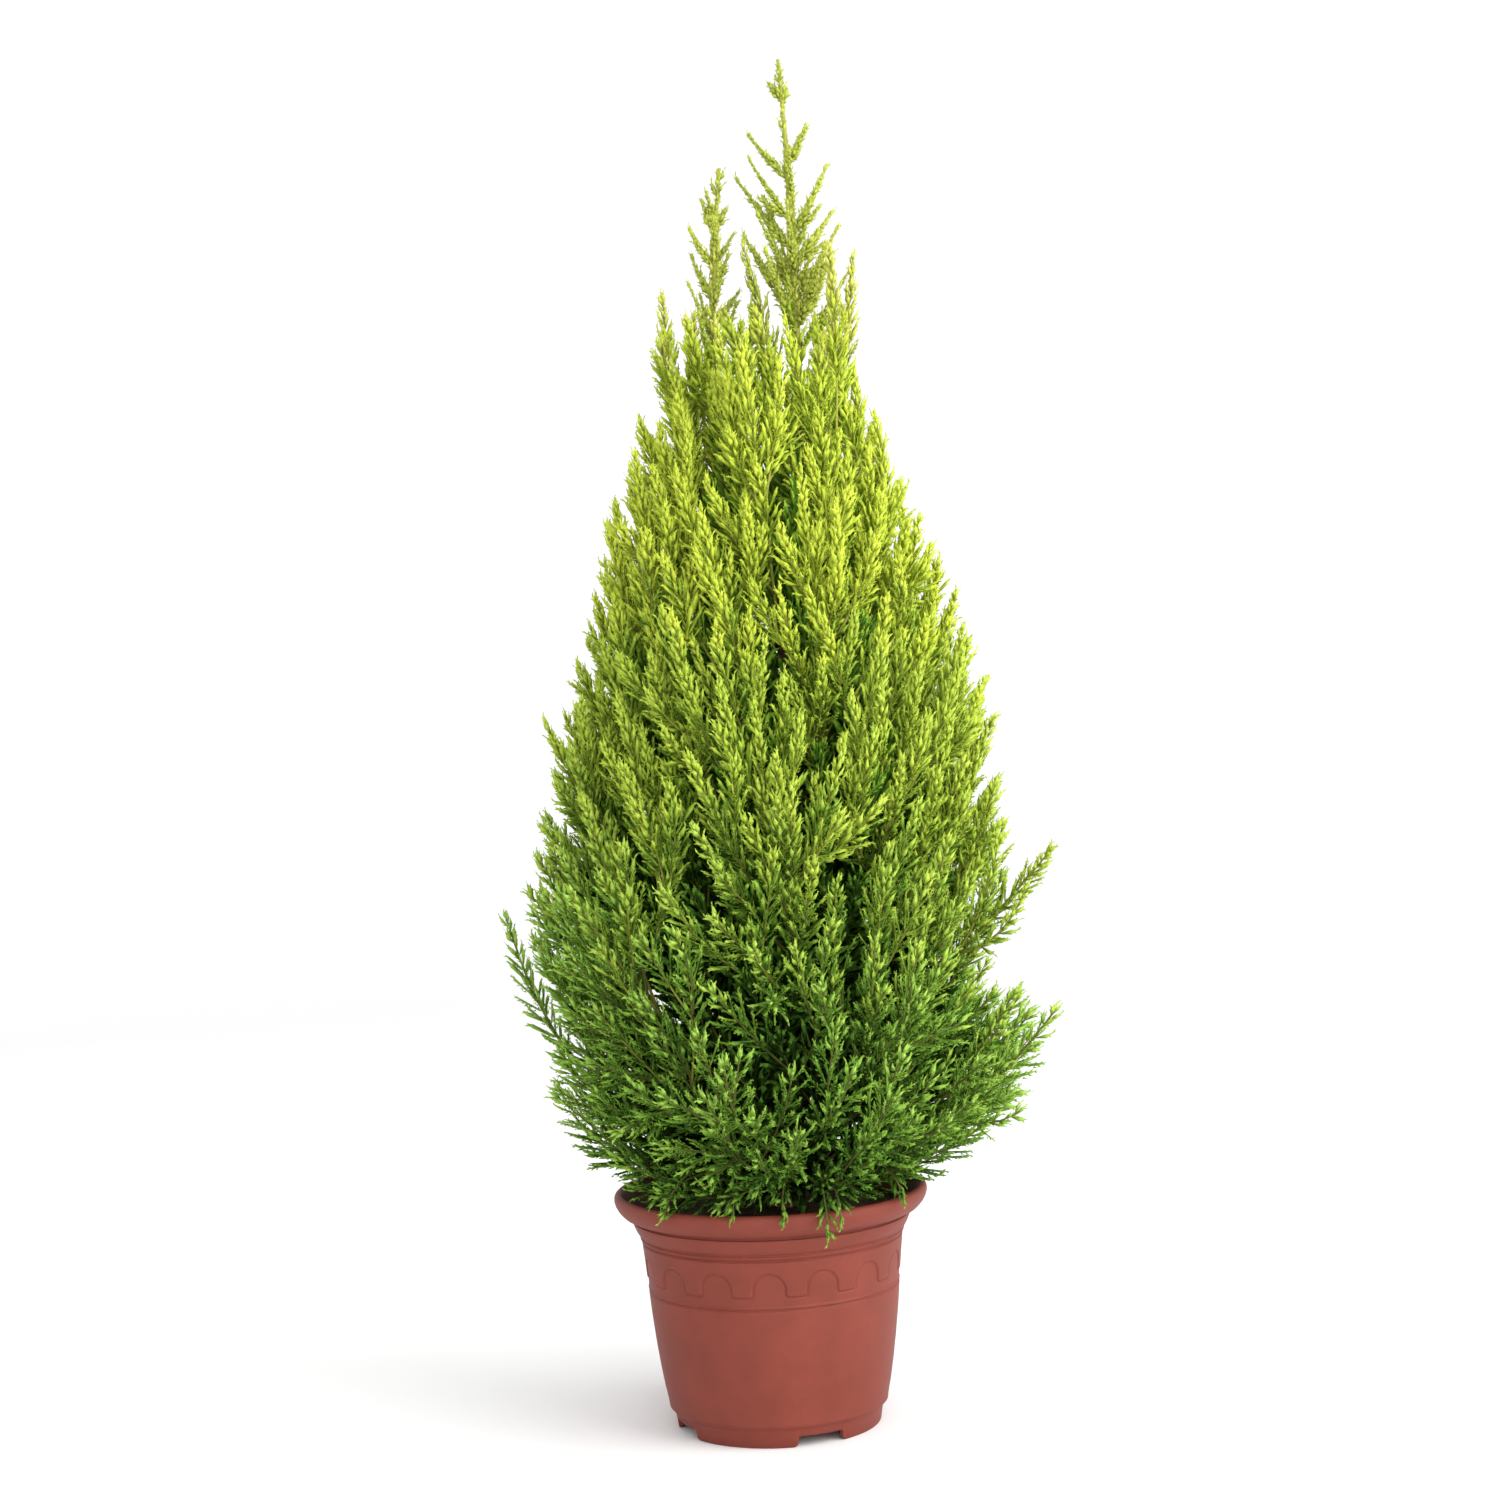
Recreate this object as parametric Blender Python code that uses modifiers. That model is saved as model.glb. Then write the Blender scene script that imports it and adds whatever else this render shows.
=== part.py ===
"""A lemon cypress about 0.95 m tall, standing in a round plastic pot.

Metres, +Z up. The origin is on the pot's axis, at the level that its feet stand on.
-Y is the front, the side from which the plant is usually seen.
"""

import math
import random
from types import SimpleNamespace

import bmesh
import bpy
import numpy as np
from mathutils import Matrix, Vector

SEAT_GAP = 0.0003
SLIVER = 0.0000015

# Pot
POT_HEIGHT = 0.166
POT_WALL = 0.0024
POT_SIDES = 32
RIM_RADIUS = 0.110
LIP_FOOT_RADIUS, LIP_FOOT_HEIGHT = 0.1006, 0.149
RIB_RADIUS, RIB_HEIGHT = 0.0932, 0.132
BAND_RADIUS, BAND_HEIGHT = 0.0886, 0.098
LEDGE_RADIUS, LEDGE_HEIGHT = 0.0768, 0.015
FOOT_RADIUS, FOOT_WIDTH = 0.0715, 0.003
FLOOR_UNDERSIDE, FLOOR_TOP = 0.0095, 0.0120
NOTCHES, NOTCH_HEIGHT = 4, 0.0078
NOTCH_ANGLE = math.radians(27)
FIRST_NOTCH = math.radians(-67)

# Growing medium inside the pot
SOIL_TOP, SOIL_RIM_TOP = 0.1520, 0.1490
SOIL_FLAT_RADIUS = 0.024

# Trunk, from a flat cut on the soil to the foot of the leading shoot
TRUNK_FOOT = Vector((0.010, 0.004, SOIL_TOP + SEAT_GAP))
TRUNK_HEAD = Vector((0.042, -0.001, 0.700))
TRUNK_BOW = 0.004
TRUNK_RADIUS, TRUNK_HEAD_RADIUS = 0.0072, 0.0026
ROOT_FLARE, ROOT_FLARE_HEIGHT = 0.0040, 0.016
TRUNK_STEPS, TRUNK_SIDES_STEP = 13, 2
CROWN_TOP = Vector((0.038, -0.002, 0.952))

# Outline of the crown: height, then how far it reaches to the left and to the right
CROWN_OUTLINE = (
    (0.168, -0.108, 0.110),
    (0.195, -0.134, 0.148),
    (0.240, -0.160, 0.190),
    (0.281, -0.158, 0.196),
    (0.320, -0.164, 0.164),
    (0.362, -0.172, 0.172),
    (0.394, -0.168, 0.178),
    (0.435, -0.158, 0.176),
    (0.490, -0.146, 0.170),
    (0.558, -0.124, 0.154),
    (0.640, -0.100, 0.126),
    (0.690, -0.078, 0.098),
    (0.740, -0.064, 0.089),
    (0.815, -0.042, 0.085),
    (0.870, -0.034, 0.072),
    (0.960, 0.010, 0.060),
)
CROWN_DEPTH_SHARE = 1.02
FURTHEST_TIPS = (
    Vector((0.1945, -0.095, 0.293)),
    Vector((0.1955, -0.100, 0.401)),
    Vector((-0.1870, 0.105, 0.353)),
)
LOWEST_LEAF = POT_HEIGHT + 0.0020

# Masses of foliage round the trunk, each at the end of a bough, on a spiral up the crown
MASSES = 27
GOLDEN_ANGLE = math.radians(137.5)
FIRST_AZIMUTH = math.radians(-20)
LOWEST_TIP, HIGHEST_TIP, TIP_EASE = 0.235, 0.812, 1.02
MASS_HEIGHT, MASS_HEIGHT_AT_TOP = 0.120, 0.185
FOOT_SHARE = 0.36
BOUGH_RISE, BOUGH_RISE_AT_TOP = 0.024, 0.060
LOWEST_BOUGH, LOWEST_BOUGH_STEP, LEAST_RISE = 0.176, 0.009, 0.006
BOUGH_RADIUS, BOUGH_RADIUS_AT_TOP = 0.0034, 0.0021
BOUGH_STEPS, BOUGH_TAPER = 3, 0.62
BOUGH_CLIMB, BOUGH_BEND, STEM_BEND = 0.5, 0.55, 0.45
LIFT, LIFT_AT_TOP = -0.10, 0.75
SWELL, SWELL_AT_TOP = 0.058, 0.036
ZONES = (("skirt", 0.300), ("lower", 0.430), ("middle", 0.600), ("upper", 0.900))

# The two leading shoots, each a mass of its own
SIDE_LEADER = dict(leave=0.405, end=Vector((-0.010, 0.006, 0.600)), tip=Vector((-0.006, 0.000, 0.879)),
                   radius=0.0032, swell=0.026, lift=1.0, spire=0.21)
LEADER = dict(swell=0.016, lift=0.7, spire=0.24)
SPIRE_TWIGS, SPIRE_SPRAY = 11, 0.62
SPIRE_TIP_SPREAD = 0.0055

# Foliage
SEED, SEED_TRIES = 200, 5
SPACE_GAP = 0.0016
LIMB_CLEARANCE = 0.0012
STEM_STEPS, STEM_TAPER = 4, 0.30
CORE_SIDES, CORE_RINGS = 6, 4
CORE_FROM, CORE_TO = 0.06, 0.80
CORE_TRIES, CORE_SHRINK, CORE_INSET = 14, 0.88, 0.018
TWIGS, SIDE_SPRAYS = 6, 1
LOWEST_TWIG, HIGHEST_TWIG = 0.10, 0.80
TWIG_RADIUS = 0.0013
OUTWARD, TWIG_FORWARD = 0.60, 0.55
SPRAY_LENGTH, SPRAY_WIDTH, SPRAY_FLATNESS = 0.090, 0.042, 0.75
SPRAY_NECK = 0.26
SPRAY_SHARE, LONG_SPRAY, SIDE_PLACE = 0.80, 0.055, 0.30
REACH, REACH_AT_TIP = 0.80, 0.42
REACH_SCALES = (1.0, 0.93, 0.86, 0.79, 0.72, 0.65, 0.58, 0.51, 0.44, 0.37)
WIDTH_SCALES = (1.0, 0.8, 0.6)


def clear_scene():
    for obj in list(bpy.data.objects):
        bpy.data.objects.remove(obj)


def new_collection(name):
    collection = bpy.data.collections.new(name)
    bpy.context.scene.collection.children.link(collection)
    return collection


def material(name, colour, roughness):
    made = bpy.data.materials.new(name)
    made.use_nodes = True
    shader = made.node_tree.nodes["Principled BSDF"]
    shader.inputs["Base Color"].default_value = (*colour, 1.0)
    shader.inputs["Roughness"].default_value = roughness
    shader.inputs["Metallic"].default_value = 0.0
    made.diffuse_color = (*colour, 1.0)
    return made


def add_object(name, data, collection, finish=None):
    obj = bpy.data.objects.new(name, data)
    collection.objects.link(obj)
    if finish:
        data.materials.clear()
        data.materials.append(finish)
    return obj


def evaluated_mesh(obj):
    graph = bpy.context.evaluated_depsgraph_get()
    return bpy.data.meshes.new_from_object(obj.evaluated_get(graph))


def as_mesh(obj, collection):
    """The object with its curve or modifiers made into a plain welded mesh, in the same place."""
    bpy.context.view_layer.update()
    mesh = evaluated_mesh(obj)
    cage = bmesh.new()
    cage.from_mesh(mesh)
    bmesh.ops.remove_doubles(cage, verts=cage.verts, dist=0.00001)
    bmesh.ops.recalc_face_normals(cage, faces=cage.faces)
    cage.to_mesh(mesh)
    cage.free()
    name, place = obj.name, obj.matrix_world.copy()
    bpy.data.objects.remove(obj)
    made = add_object(name, mesh, collection)
    made.matrix_world = place
    return made


def turned(name, profile, collection, finish):
    """A solid turned about Z from a profile of (radius, height) that runs down its outer side."""
    mesh = bpy.data.meshes.new(name)
    points = [(radius, 0.0, height) for radius, height in profile]
    mesh.from_pydata(points, [(i, i + 1) for i in range(len(points) - 1)], [])
    obj = add_object(name, mesh, collection, finish)
    screw = obj.modifiers.new("turn", "SCREW")
    screw.angle = 2 * math.pi
    screw.steps = screw.render_steps = POT_SIDES
    screw.use_merge_vertices = True
    screw.merge_threshold = 0.0001
    screw.use_smooth_shade = False
    return obj


def limb(name, points, radii, collection, finish, sides_step):
    """A tapering limb along points, as a bevelled curve made into a mesh."""
    curve = bpy.data.curves.new(name, "CURVE")
    curve.dimensions = "3D"
    curve.bevel_depth = 1.0
    curve.bevel_resolution = sides_step
    curve.use_fill_caps = True
    spline = curve.splines.new("POLY")
    spline.points.add(len(points) - 1)
    for knot, place, radius in zip(spline.points, points, radii):
        knot.co = (*place, 1.0)
        knot.radius = radius
    obj = as_mesh(add_object(name, curve, collection), collection)
    obj.data.materials.append(finish)
    return obj


def boolean(obj, operation, other):
    """Joins or cuts obj with another object or with a collection, and applies it."""
    change = obj.modifiers.new(operation.lower(), "BOOLEAN")
    change.operation = operation
    change.solver = "EXACT"
    if isinstance(other, bpy.types.Collection):
        change.operand_type = "COLLECTION"
        change.collection = other
    else:
        change.object = other
    bpy.context.view_layer.update()
    mesh = evaluated_mesh(obj)
    obj.modifiers.clear()
    obj.data = mesh


def shells_of(cage):
    """The faces of a mesh in separate closed shells, the largest last."""
    shells, waiting = [], set(cage.faces)
    while waiting:
        shell, rim = [], [waiting.pop()]
        while rim:
            face = rim.pop()
            shell.append(face)
            near = {other for edge in face.edges for other in edge.link_faces} & waiting
            waiting -= near
            rim.extend(near)
        shells.append(shell)
    return sorted(shells, key=shell_volume)


def shell_volume(shell):
    corners = ([corner.co for corner in face.verts] for face in shell)
    return sum(a.dot(b.cross(c)) for a, b, c in corners) / 6


def main_shell_only(obj):
    """Fills hollows that joining sealed and drops loose scraps: only the largest outer shell stays."""
    cage = bmesh.new()
    cage.from_mesh(obj.data)
    bmesh.ops.triangulate(cage, faces=cage.faces)
    spare = [face for shell in shells_of(cage)[:-1] for face in shell]
    bmesh.ops.delete(cage, geom=spare, context="FACES")
    cage.to_mesh(obj.data)
    cage.free()


def is_sound(mesh):
    """True if the mesh stays one closed shell when points nearer than a sliver's width are merged."""
    cage = bmesh.new()
    cage.from_mesh(mesh)
    bmesh.ops.remove_doubles(cage, verts=cage.verts, dist=SLIVER)
    sound = all(len(edge.link_faces) == 2 for edge in cage.edges) and len(shells_of(cage)) == 1
    cage.free()
    return sound


def outer_wall():
    """Profile of the pot's outer side, from the top of the lip down to its feet."""
    lip_height = POT_HEIGHT - LIP_FOOT_HEIGHT
    return [
        (RIM_RADIUS - 0.0080, POT_HEIGHT - 0.0012),
        (RIM_RADIUS - 0.0052, POT_HEIGHT),
        (RIM_RADIUS - 0.0018, POT_HEIGHT - 0.0008),
        (RIM_RADIUS, POT_HEIGHT - 0.24 * lip_height),
        (RIM_RADIUS - 0.0010, POT_HEIGHT - 0.52 * lip_height),
        (RIM_RADIUS - 0.0055, POT_HEIGHT - 0.82 * lip_height),
        (LIP_FOOT_RADIUS, LIP_FOOT_HEIGHT),
        (0.5 * (LIP_FOOT_RADIUS + RIB_RADIUS) - 0.0004, 0.5 * (LIP_FOOT_HEIGHT + RIB_HEIGHT)),
        (RIB_RADIUS, RIB_HEIGHT + 0.0015),
        (RIB_RADIUS - 0.0004, RIB_HEIGHT - 0.0015),
        (RIB_RADIUS - 0.0014, RIB_HEIGHT - 0.0018),
        (BAND_RADIUS, BAND_HEIGHT),
        (0.5 * (BAND_RADIUS + LEDGE_RADIUS) + 0.0012, 0.5 * (BAND_HEIGHT + LEDGE_HEIGHT)),
        (LEDGE_RADIUS + 0.0016, LEDGE_HEIGHT + 0.0080),
        (LEDGE_RADIUS - 0.0004, LEDGE_HEIGHT),
        (FOOT_RADIUS + 0.0025, LEDGE_HEIGHT - 0.0008),
        (FOOT_RADIUS, 0.0),
    ]


def inner_wall():
    """Profile of the pot's inside, from the middle of its floor up to the lip."""
    foot = LEDGE_RADIUS - POT_WALL
    return [
        (0.0, FLOOR_TOP),
        (foot - 0.0020, FLOOR_TOP),
        (foot + 0.0010, FLOOR_TOP + 0.0080),
        (BAND_RADIUS - POT_WALL, BAND_HEIGHT),
        (RIB_RADIUS - 0.0010 - POT_WALL, RIB_HEIGHT),
        (LIP_FOOT_RADIUS - POT_WALL, LIP_FOOT_HEIGHT + 0.0020),
    ]


def build_pot(collection, cutters, finish):
    underside = [
        (FOOT_RADIUS - FOOT_WIDTH, 0.0),
        (FOOT_RADIUS - FOOT_WIDTH + 0.0008, FLOOR_UNDERSIDE),
        (0.0, FLOOR_UNDERSIDE),
    ]
    pot = turned("pot", inner_wall() + outer_wall() + underside, collection, finish)
    pot = as_mesh(pot, collection)
    pot.data.materials.append(finish)
    width = 2 * FOOT_RADIUS * math.tan(NOTCH_ANGLE / 2)
    for number in range(NOTCHES):
        angle = FIRST_NOTCH + number * 2 * math.pi / NOTCHES
        cage = bmesh.new()
        bmesh.ops.create_cube(cage, size=1.0)
        bmesh.ops.scale(cage, verts=cage.verts, vec=(0.030, width, 2 * NOTCH_HEIGHT))
        bmesh.ops.translate(cage, verts=cage.verts, vec=(FOOT_RADIUS, 0.0, 0.0))
        bmesh.ops.rotate(cage, verts=cage.verts, cent=(0, 0, 0), matrix=Matrix.Rotation(angle, 3, "Z"))
        mesh = bpy.data.meshes.new("notch_cutter")
        cage.to_mesh(mesh)
        cage.free()
        cutter = add_object(f"notch_cutter_{number + 1}", mesh, cutters)
        cutter.hide_render = True
        cutter.display_type = "WIRE"
        boolean(pot, "DIFFERENCE", cutter)
    return pot


def build_soil(collection, finish):
    side = [(radius - SEAT_GAP, height) for radius, height in inner_wall()[1:-1]]
    side[0] = (side[0][0], FLOOR_TOP + SEAT_GAP)
    top_radius = LIP_FOOT_RADIUS - POT_WALL - 0.0018
    profile = [(0.0, SOIL_TOP), (SOIL_FLAT_RADIUS, SOIL_TOP), (top_radius, SOIL_RIM_TOP)]
    profile += side[::-1] + [(0.0, FLOOR_TOP + SEAT_GAP)]
    return turned("soil", profile, collection, finish)


def trunk_place(height):
    """The trunk's axis at a height: a slight lean, with a bow that is straight at the foot."""
    share = (height - TRUNK_FOOT.z) / (TRUNK_HEAD.z - TRUNK_FOOT.z)
    eased = share * share * (3 - 2 * share) * 0.35 + share * 0.65
    place = TRUNK_FOOT.lerp(TRUNK_HEAD, eased)
    bow = TRUNK_BOW * math.sin(math.pi * share) * (1 - math.cos(2 * math.pi * share)) / 2
    return Vector((place.x - bow, place.y + bow, height))


def trunk_radius(height):
    share = (height - TRUNK_FOOT.z) / (TRUNK_HEAD.z - TRUNK_FOOT.z)
    flare = ROOT_FLARE * math.exp(-(height - TRUNK_FOOT.z) / ROOT_FLARE_HEIGHT)
    return TRUNK_RADIUS + (TRUNK_HEAD_RADIUS - TRUNK_RADIUS) * share ** 0.9 + flare


def trunk_line():
    foot = [TRUNK_FOOT.z, TRUNK_FOOT.z + 0.006, TRUNK_FOOT.z + 0.016, TRUNK_FOOT.z + 0.032]
    rise = TRUNK_HEAD.z - foot[-1]
    heights = foot + [foot[-1] + rise * step / TRUNK_STEPS for step in range(1, TRUNK_STEPS + 1)]
    points = [trunk_place(height) for height in heights]
    points[1].xy = points[0].xy
    return points, [trunk_radius(height) for height in heights]


def build_trunk(collection, cutters, finish):
    """The trunk, and a slightly thicker copy of it that cuts the boughs clear of it."""
    points, radii = trunk_line()
    limb("trunk", points, radii, collection, finish, TRUNK_SIDES_STEP)
    wider = [radius + SEAT_GAP for radius in radii]
    cutter = limb("trunk_cutter", points, wider, cutters, finish, TRUNK_SIDES_STEP)
    cutter.hide_render = True
    cutter.display_type = "WIRE"
    return cutter


def crown_section(height):
    """Middle, half width and half depth of the crown at a height."""
    rows = np.array(CROWN_OUTLINE)
    left = float(np.interp(height, rows[:, 0], rows[:, 1]))
    right = float(np.interp(height, rows[:, 0], rows[:, 2]))
    half = (right - left) / 2
    return (left + right) / 2, half, half * CROWN_DEPTH_SHARE


def crown_point(azimuth, height):
    """The point of the crown's outer surface at an azimuth, which counts from +X towards +Y."""
    middle, half, depth = crown_section(height)
    return Vector((middle + half * math.cos(azimuth), depth * math.sin(azimuth), height))


def inside_crown(points):
    rows = np.array(CROWN_OUTLINE)
    left = np.interp(points[:, 2], rows[:, 0], rows[:, 1])
    right = np.interp(points[:, 2], rows[:, 0], rows[:, 2])
    half = (right - left) / 2
    across = points[:, 0] - (left + right) / 2
    reach = (across / half) ** 2 + (points[:, 1] / (half * CROWN_DEPTH_SHARE)) ** 2
    return (reach <= 1.0001) & (points[:, 2] >= LOWEST_LEAF) & (points[:, 2] <= CROWN_TOP.z + 1e-6)


def bent(start, middle, end, steps):
    """Points along a smooth bend from start to end, drawn towards middle."""
    return [
        start.lerp(middle, step / steps).lerp(middle.lerp(end, step / steps), step / steps)
        for step in range(steps + 1)
    ]


def blend(low, high, share):
    return low + (high - low) * share


def mass_plan(number):
    """Where one bough runs, and the tip of the mass that it carries."""
    share = number / (MASSES - 1)
    azimuth = FIRST_AZIMUTH + number * GOLDEN_ANGLE
    tip = crown_point(azimuth, blend(LOWEST_TIP, HIGHEST_TIP, share ** TIP_EASE))
    rise = blend(BOUGH_RISE, BOUGH_RISE_AT_TOP, share)
    foot_height = tip.z - blend(MASS_HEIGHT, MASS_HEIGHT_AT_TOP, share)
    start = trunk_place(max(LOWEST_BOUGH + LOWEST_BOUGH_STEP * (number % 3), foot_height - rise))
    foot_height = max(foot_height, start.z + LEAST_RISE)
    foot = trunk_place(foot_height).lerp(crown_point(azimuth, foot_height), FOOT_SHARE)
    out = Vector((foot.x - start.x, foot.y - start.y, 0.0))
    climb = BOUGH_CLIMB * (foot.z - start.z) / out.length
    way = (out.normalized() + Vector((0, 0, climb))).normalized()
    return SimpleNamespace(
        start=start, end=foot, way=way, tip=tip,
        radius=blend(BOUGH_RADIUS, BOUGH_RADIUS_AT_TOP, share),
        swell=blend(SWELL, SWELL_AT_TOP, share), lift=blend(LIFT, LIFT_AT_TOP, share ** 0.7),
        spire=None)


def crown_plan():
    """Every bough and mass of the crown, from the skirt up to the leading shoot."""
    plans = [mass_plan(number) for number in range(MASSES)]
    for tip in FURTHEST_TIPS:
        nearest = min(plans, key=lambda plan: (plan.tip - tip).length)
        nearest.tip = tip
    for zone, top in ZONES:
        members = [plan for plan in plans if plan.tip.z <= top and not hasattr(plan, "name")]
        for number, plan in enumerate(members):
            plan.name = f"{zone}_{number + 1}"
    plans.append(SimpleNamespace(
        name="side_leader", start=trunk_place(SIDE_LEADER["leave"]), end=SIDE_LEADER["end"],
        way=Vector((-0.35, 0.03, 1.0)).normalized(), tip=SIDE_LEADER["tip"],
        radius=SIDE_LEADER["radius"], swell=SIDE_LEADER["swell"], lift=SIDE_LEADER["lift"],
        spire=SIDE_LEADER["spire"]))
    plans.append(SimpleNamespace(
        name="leader", start=None, end=TRUNK_HEAD, way=None, tip=CROWN_TOP,
        radius=TRUNK_HEAD_RADIUS, swell=LEADER["swell"], lift=LEADER["lift"], spire=LEADER["spire"]))
    for plan in plans:
        lay_out(plan)
    return plans


def lay_out(plan):
    """Fills in the lines of the bough and of the stem of its mass."""
    if plan.start is None:
        plan.bough_line = None
        heading = (TRUNK_HEAD - trunk_place(TRUNK_HEAD.z - 0.03)).normalized()
        plan.end_radius = plan.radius * 0.9
    else:
        length = (plan.end - plan.start).length
        plan.bough_line = bent(plan.start, plan.start + plan.way * BOUGH_BEND * length, plan.end, BOUGH_STEPS)
        heading = (plan.bough_line[-1] - plan.bough_line[-2]).normalized()
        plan.end_radius = plan.radius * BOUGH_TAPER
    foot = plan.end + heading * SEAT_GAP
    plan.stem_length = (plan.tip - foot).length
    plan.stem_line = bent(foot, foot + heading * STEM_BEND * plan.stem_length, plan.tip, STEM_STEPS)


def stretches(lines, owners, radii):
    """Lines cut into straight stretches: where each starts, how it runs, whose it is, and how thick."""
    starts = np.concatenate([np.array(line[:-1]) for line in lines])
    ends = np.concatenate([np.array(line[1:]) for line in lines])
    counts = [len(line) - 1 for line in lines]
    return SimpleNamespace(
        starts=starts, along=ends - starts, owner=np.repeat(owners, counts), radius=np.repeat(radii, counts))


def distances(points, lines):
    """Distance of each point from each stretch."""
    offset = points[:, None] - lines.starts
    share = np.clip((offset * lines.along).sum(-1) / (lines.along ** 2).sum(-1), 0, 1)
    return np.linalg.norm(offset - share[..., None] * lines.along, axis=-1)


def crown_lines(plans):
    """The stems of the masses, and the limbs: the trunk stretch by stretch, then the boughs."""
    stems = stretches([plan.stem_line for plan in plans], range(len(plans)), [0.0] * len(plans))
    points, radii = trunk_line()
    limbs = [points[i:i + 2] for i in range(len(points) - 1)]
    widths = [max(radii[i:i + 2]) for i in range(len(points) - 1)]
    boughs = [plan for plan in plans if plan.bough_line]
    limbs += [plan.bough_line for plan in boughs]
    widths += [plan.radius for plan in boughs]
    return stems, stretches(limbs, [-1] * len(limbs), widths)


def keeps_to_space(points, plan, number, stems, limbs):
    """True where every point is in the crown, nearest to this mass's own stem, and clear of the limbs."""
    points = np.array(points)
    if not inside_crown(points).all():
        return False
    near = distances(points, stems)
    own = near[:, stems.owner == number].min(1)
    if plan.spire and (own > plan.spire * (plan.tip.z - points[:, 2]) + SPIRE_TIP_SPREAD).any():
        return False
    if (near[:, stems.owner != number].min(1) < own + SPACE_GAP).any():
        return False
    return bool((distances(points, limbs) > limbs.radius + LIMB_CLEARANCE).all())


def stem_place(plan, share):
    """A point on the stem of a mass and the direction of growth there."""
    steps = len(plan.stem_line) - 1
    index = min(int(share * steps), steps - 1)
    first, second = plan.stem_line[index], plan.stem_line[index + 1]
    return first.lerp(second, share * steps - index), (second - first).normalized()


def mesh_from(cage, name):
    if cage.calc_volume(signed=True) < 0:
        bmesh.ops.reverse_faces(cage, faces=cage.faces)
    mesh = bpy.data.meshes.new(name)
    cage.to_mesh(mesh)
    cage.free()
    return mesh


def ringed_cage(sides, rings):
    """A closed ball of rings between two poles, and each vertex with the number of its ring."""
    cage = bmesh.new()
    bmesh.ops.create_uvsphere(cage, u_segments=sides, v_segments=rings + 1, radius=1.0)
    numbered = []
    for vertex in cage.verts:
        polar = math.acos(max(-1.0, min(1.0, vertex.co.z)))
        numbered.append((vertex, rings + 1 - round(polar * (rings + 1) / math.pi)))
    return cage, numbered


def core_mesh(plan, fits):
    """A spindle round the stem, drawn in wherever the mass's own space is narrow."""
    cage, numbered = ringed_cage(CORE_SIDES, CORE_RINGS)
    centres = {}
    for vertex, ring in numbered:
        share = ring / (CORE_RINGS + 1)
        centre, growth = stem_place(plan, CORE_FROM + (CORE_TO - CORE_FROM) * share)
        centres[vertex] = centre
        way = Vector((vertex.co.x, vertex.co.y, 0.0))
        if ring in (0, CORE_RINGS + 1):
            vertex.co = centre
            continue
        way = growth.to_track_quat("Z", "Y") @ way.normalized()
        vertex.co = centre + way * plan.swell * math.sin(math.pi * share ** 0.8)
    for _ in range(CORE_TRIES):
        tight = set()
        for vertex in cage.verts:
            reach = vertex.co - centres[vertex]
            outside = np.array([vertex.co + reach.normalized() * CORE_INSET])
            ray = [centres[vertex] + reach * share for share in (0.6, 0.8, 1.0)]
            if not fits(ray) or not inside_crown(outside)[0]:
                tight.add(vertex)
        for face in cage.faces:
            middle = sum((centres[vertex] for vertex in face.verts), Vector()) / len(face.verts)
            outer = face.calc_center_median()
            if not fits([middle.lerp(outer, share) for share in (0.6, 0.8, 1.0)]):
                tight.update(face.verts)
        for vertex in tight:
            vertex.co = centres[vertex].lerp(vertex.co, CORE_SHRINK)
        if not tight:
            break
    return mesh_from(cage, "core")


def twig_mesh(points, radii):
    """A three-sided tapering twig along points."""
    cage, numbered = ringed_cage(3, len(points))
    for vertex, ring in numbered:
        index = max(0, min(len(points) - 1, ring - 1))
        before, after = points[max(0, index - 1)], points[min(len(points) - 1, index + 1)]
        turn = (after - before).to_track_quat("Z", "Y")
        way = Vector((vertex.co.x, vertex.co.y, 0.0))
        spread = radii[index] if ring == index + 1 else 0.0
        vertex.co = points[index] + (turn @ way.normalized()) * spread if spread else points[index]
    return mesh_from(cage, "twig")


def spray_frame(root, tip, face):
    """Position and axes of a spray: Z along it, X across its width."""
    along = (tip - root).normalized()
    across = along.cross(face)
    across = across.normalized() if across.length > 0.05 else along.orthogonal().normalized()
    turn = Matrix((across, along.cross(across), along)).transposed().to_4x4()
    return Matrix.Translation(root) @ turn


def spray_ring(ring, levels, length, width):
    """Height, radius and turn of a ring of a spray: necks in turn with rings of teeth."""
    if ring == 0:
        return 0.0, 0.0, 0.0
    if ring == 2 * levels + 1:
        return length, 0.0, 0.0
    level, toothed = divmod(ring - 1, 2)
    height = (level + 0.85 * toothed + 0.05) / (levels + 0.25)
    spread = math.sin(math.pi * (0.22 + 0.70 * height)) * (1.0 if toothed else SPRAY_NECK)
    return length * height, 0.5 * width * spread, level * math.pi / 3


def spray_mesh(frame, length, width, levels):
    """A spray of needles as one toothed blade, whose teeth point forwards."""
    cage, numbered = ringed_cage(3, 2 * levels)
    for vertex, ring in numbered:
        height, radius, turn = spray_ring(ring, levels, length, width)
        angle = math.atan2(vertex.co.y, vertex.co.x) + turn
        vertex.co = (radius * math.cos(angle), SPRAY_FLATNESS * radius * math.sin(angle), height)
    bmesh.ops.transform(cage, verts=cage.verts, matrix=frame)
    return mesh_from(cage, "spray")


def spray_samples(frame, length, width, levels):
    samples = [frame @ Vector((0, 0, length * share / 8)) for share in range(2, 9)]
    for ring in range(2, 2 * levels + 1, 2):
        height, radius, turn = spray_ring(ring, levels, length, width)
        for side in range(3):
            angle = turn + side * 2 * math.pi / 3
            tooth = Vector((radius * math.cos(angle), SPRAY_FLATNESS * radius * math.sin(angle), height))
            samples += [frame @ tooth, frame @ Vector((0.5 * tooth.x, 0.5 * tooth.y, height))]
    return samples


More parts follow.
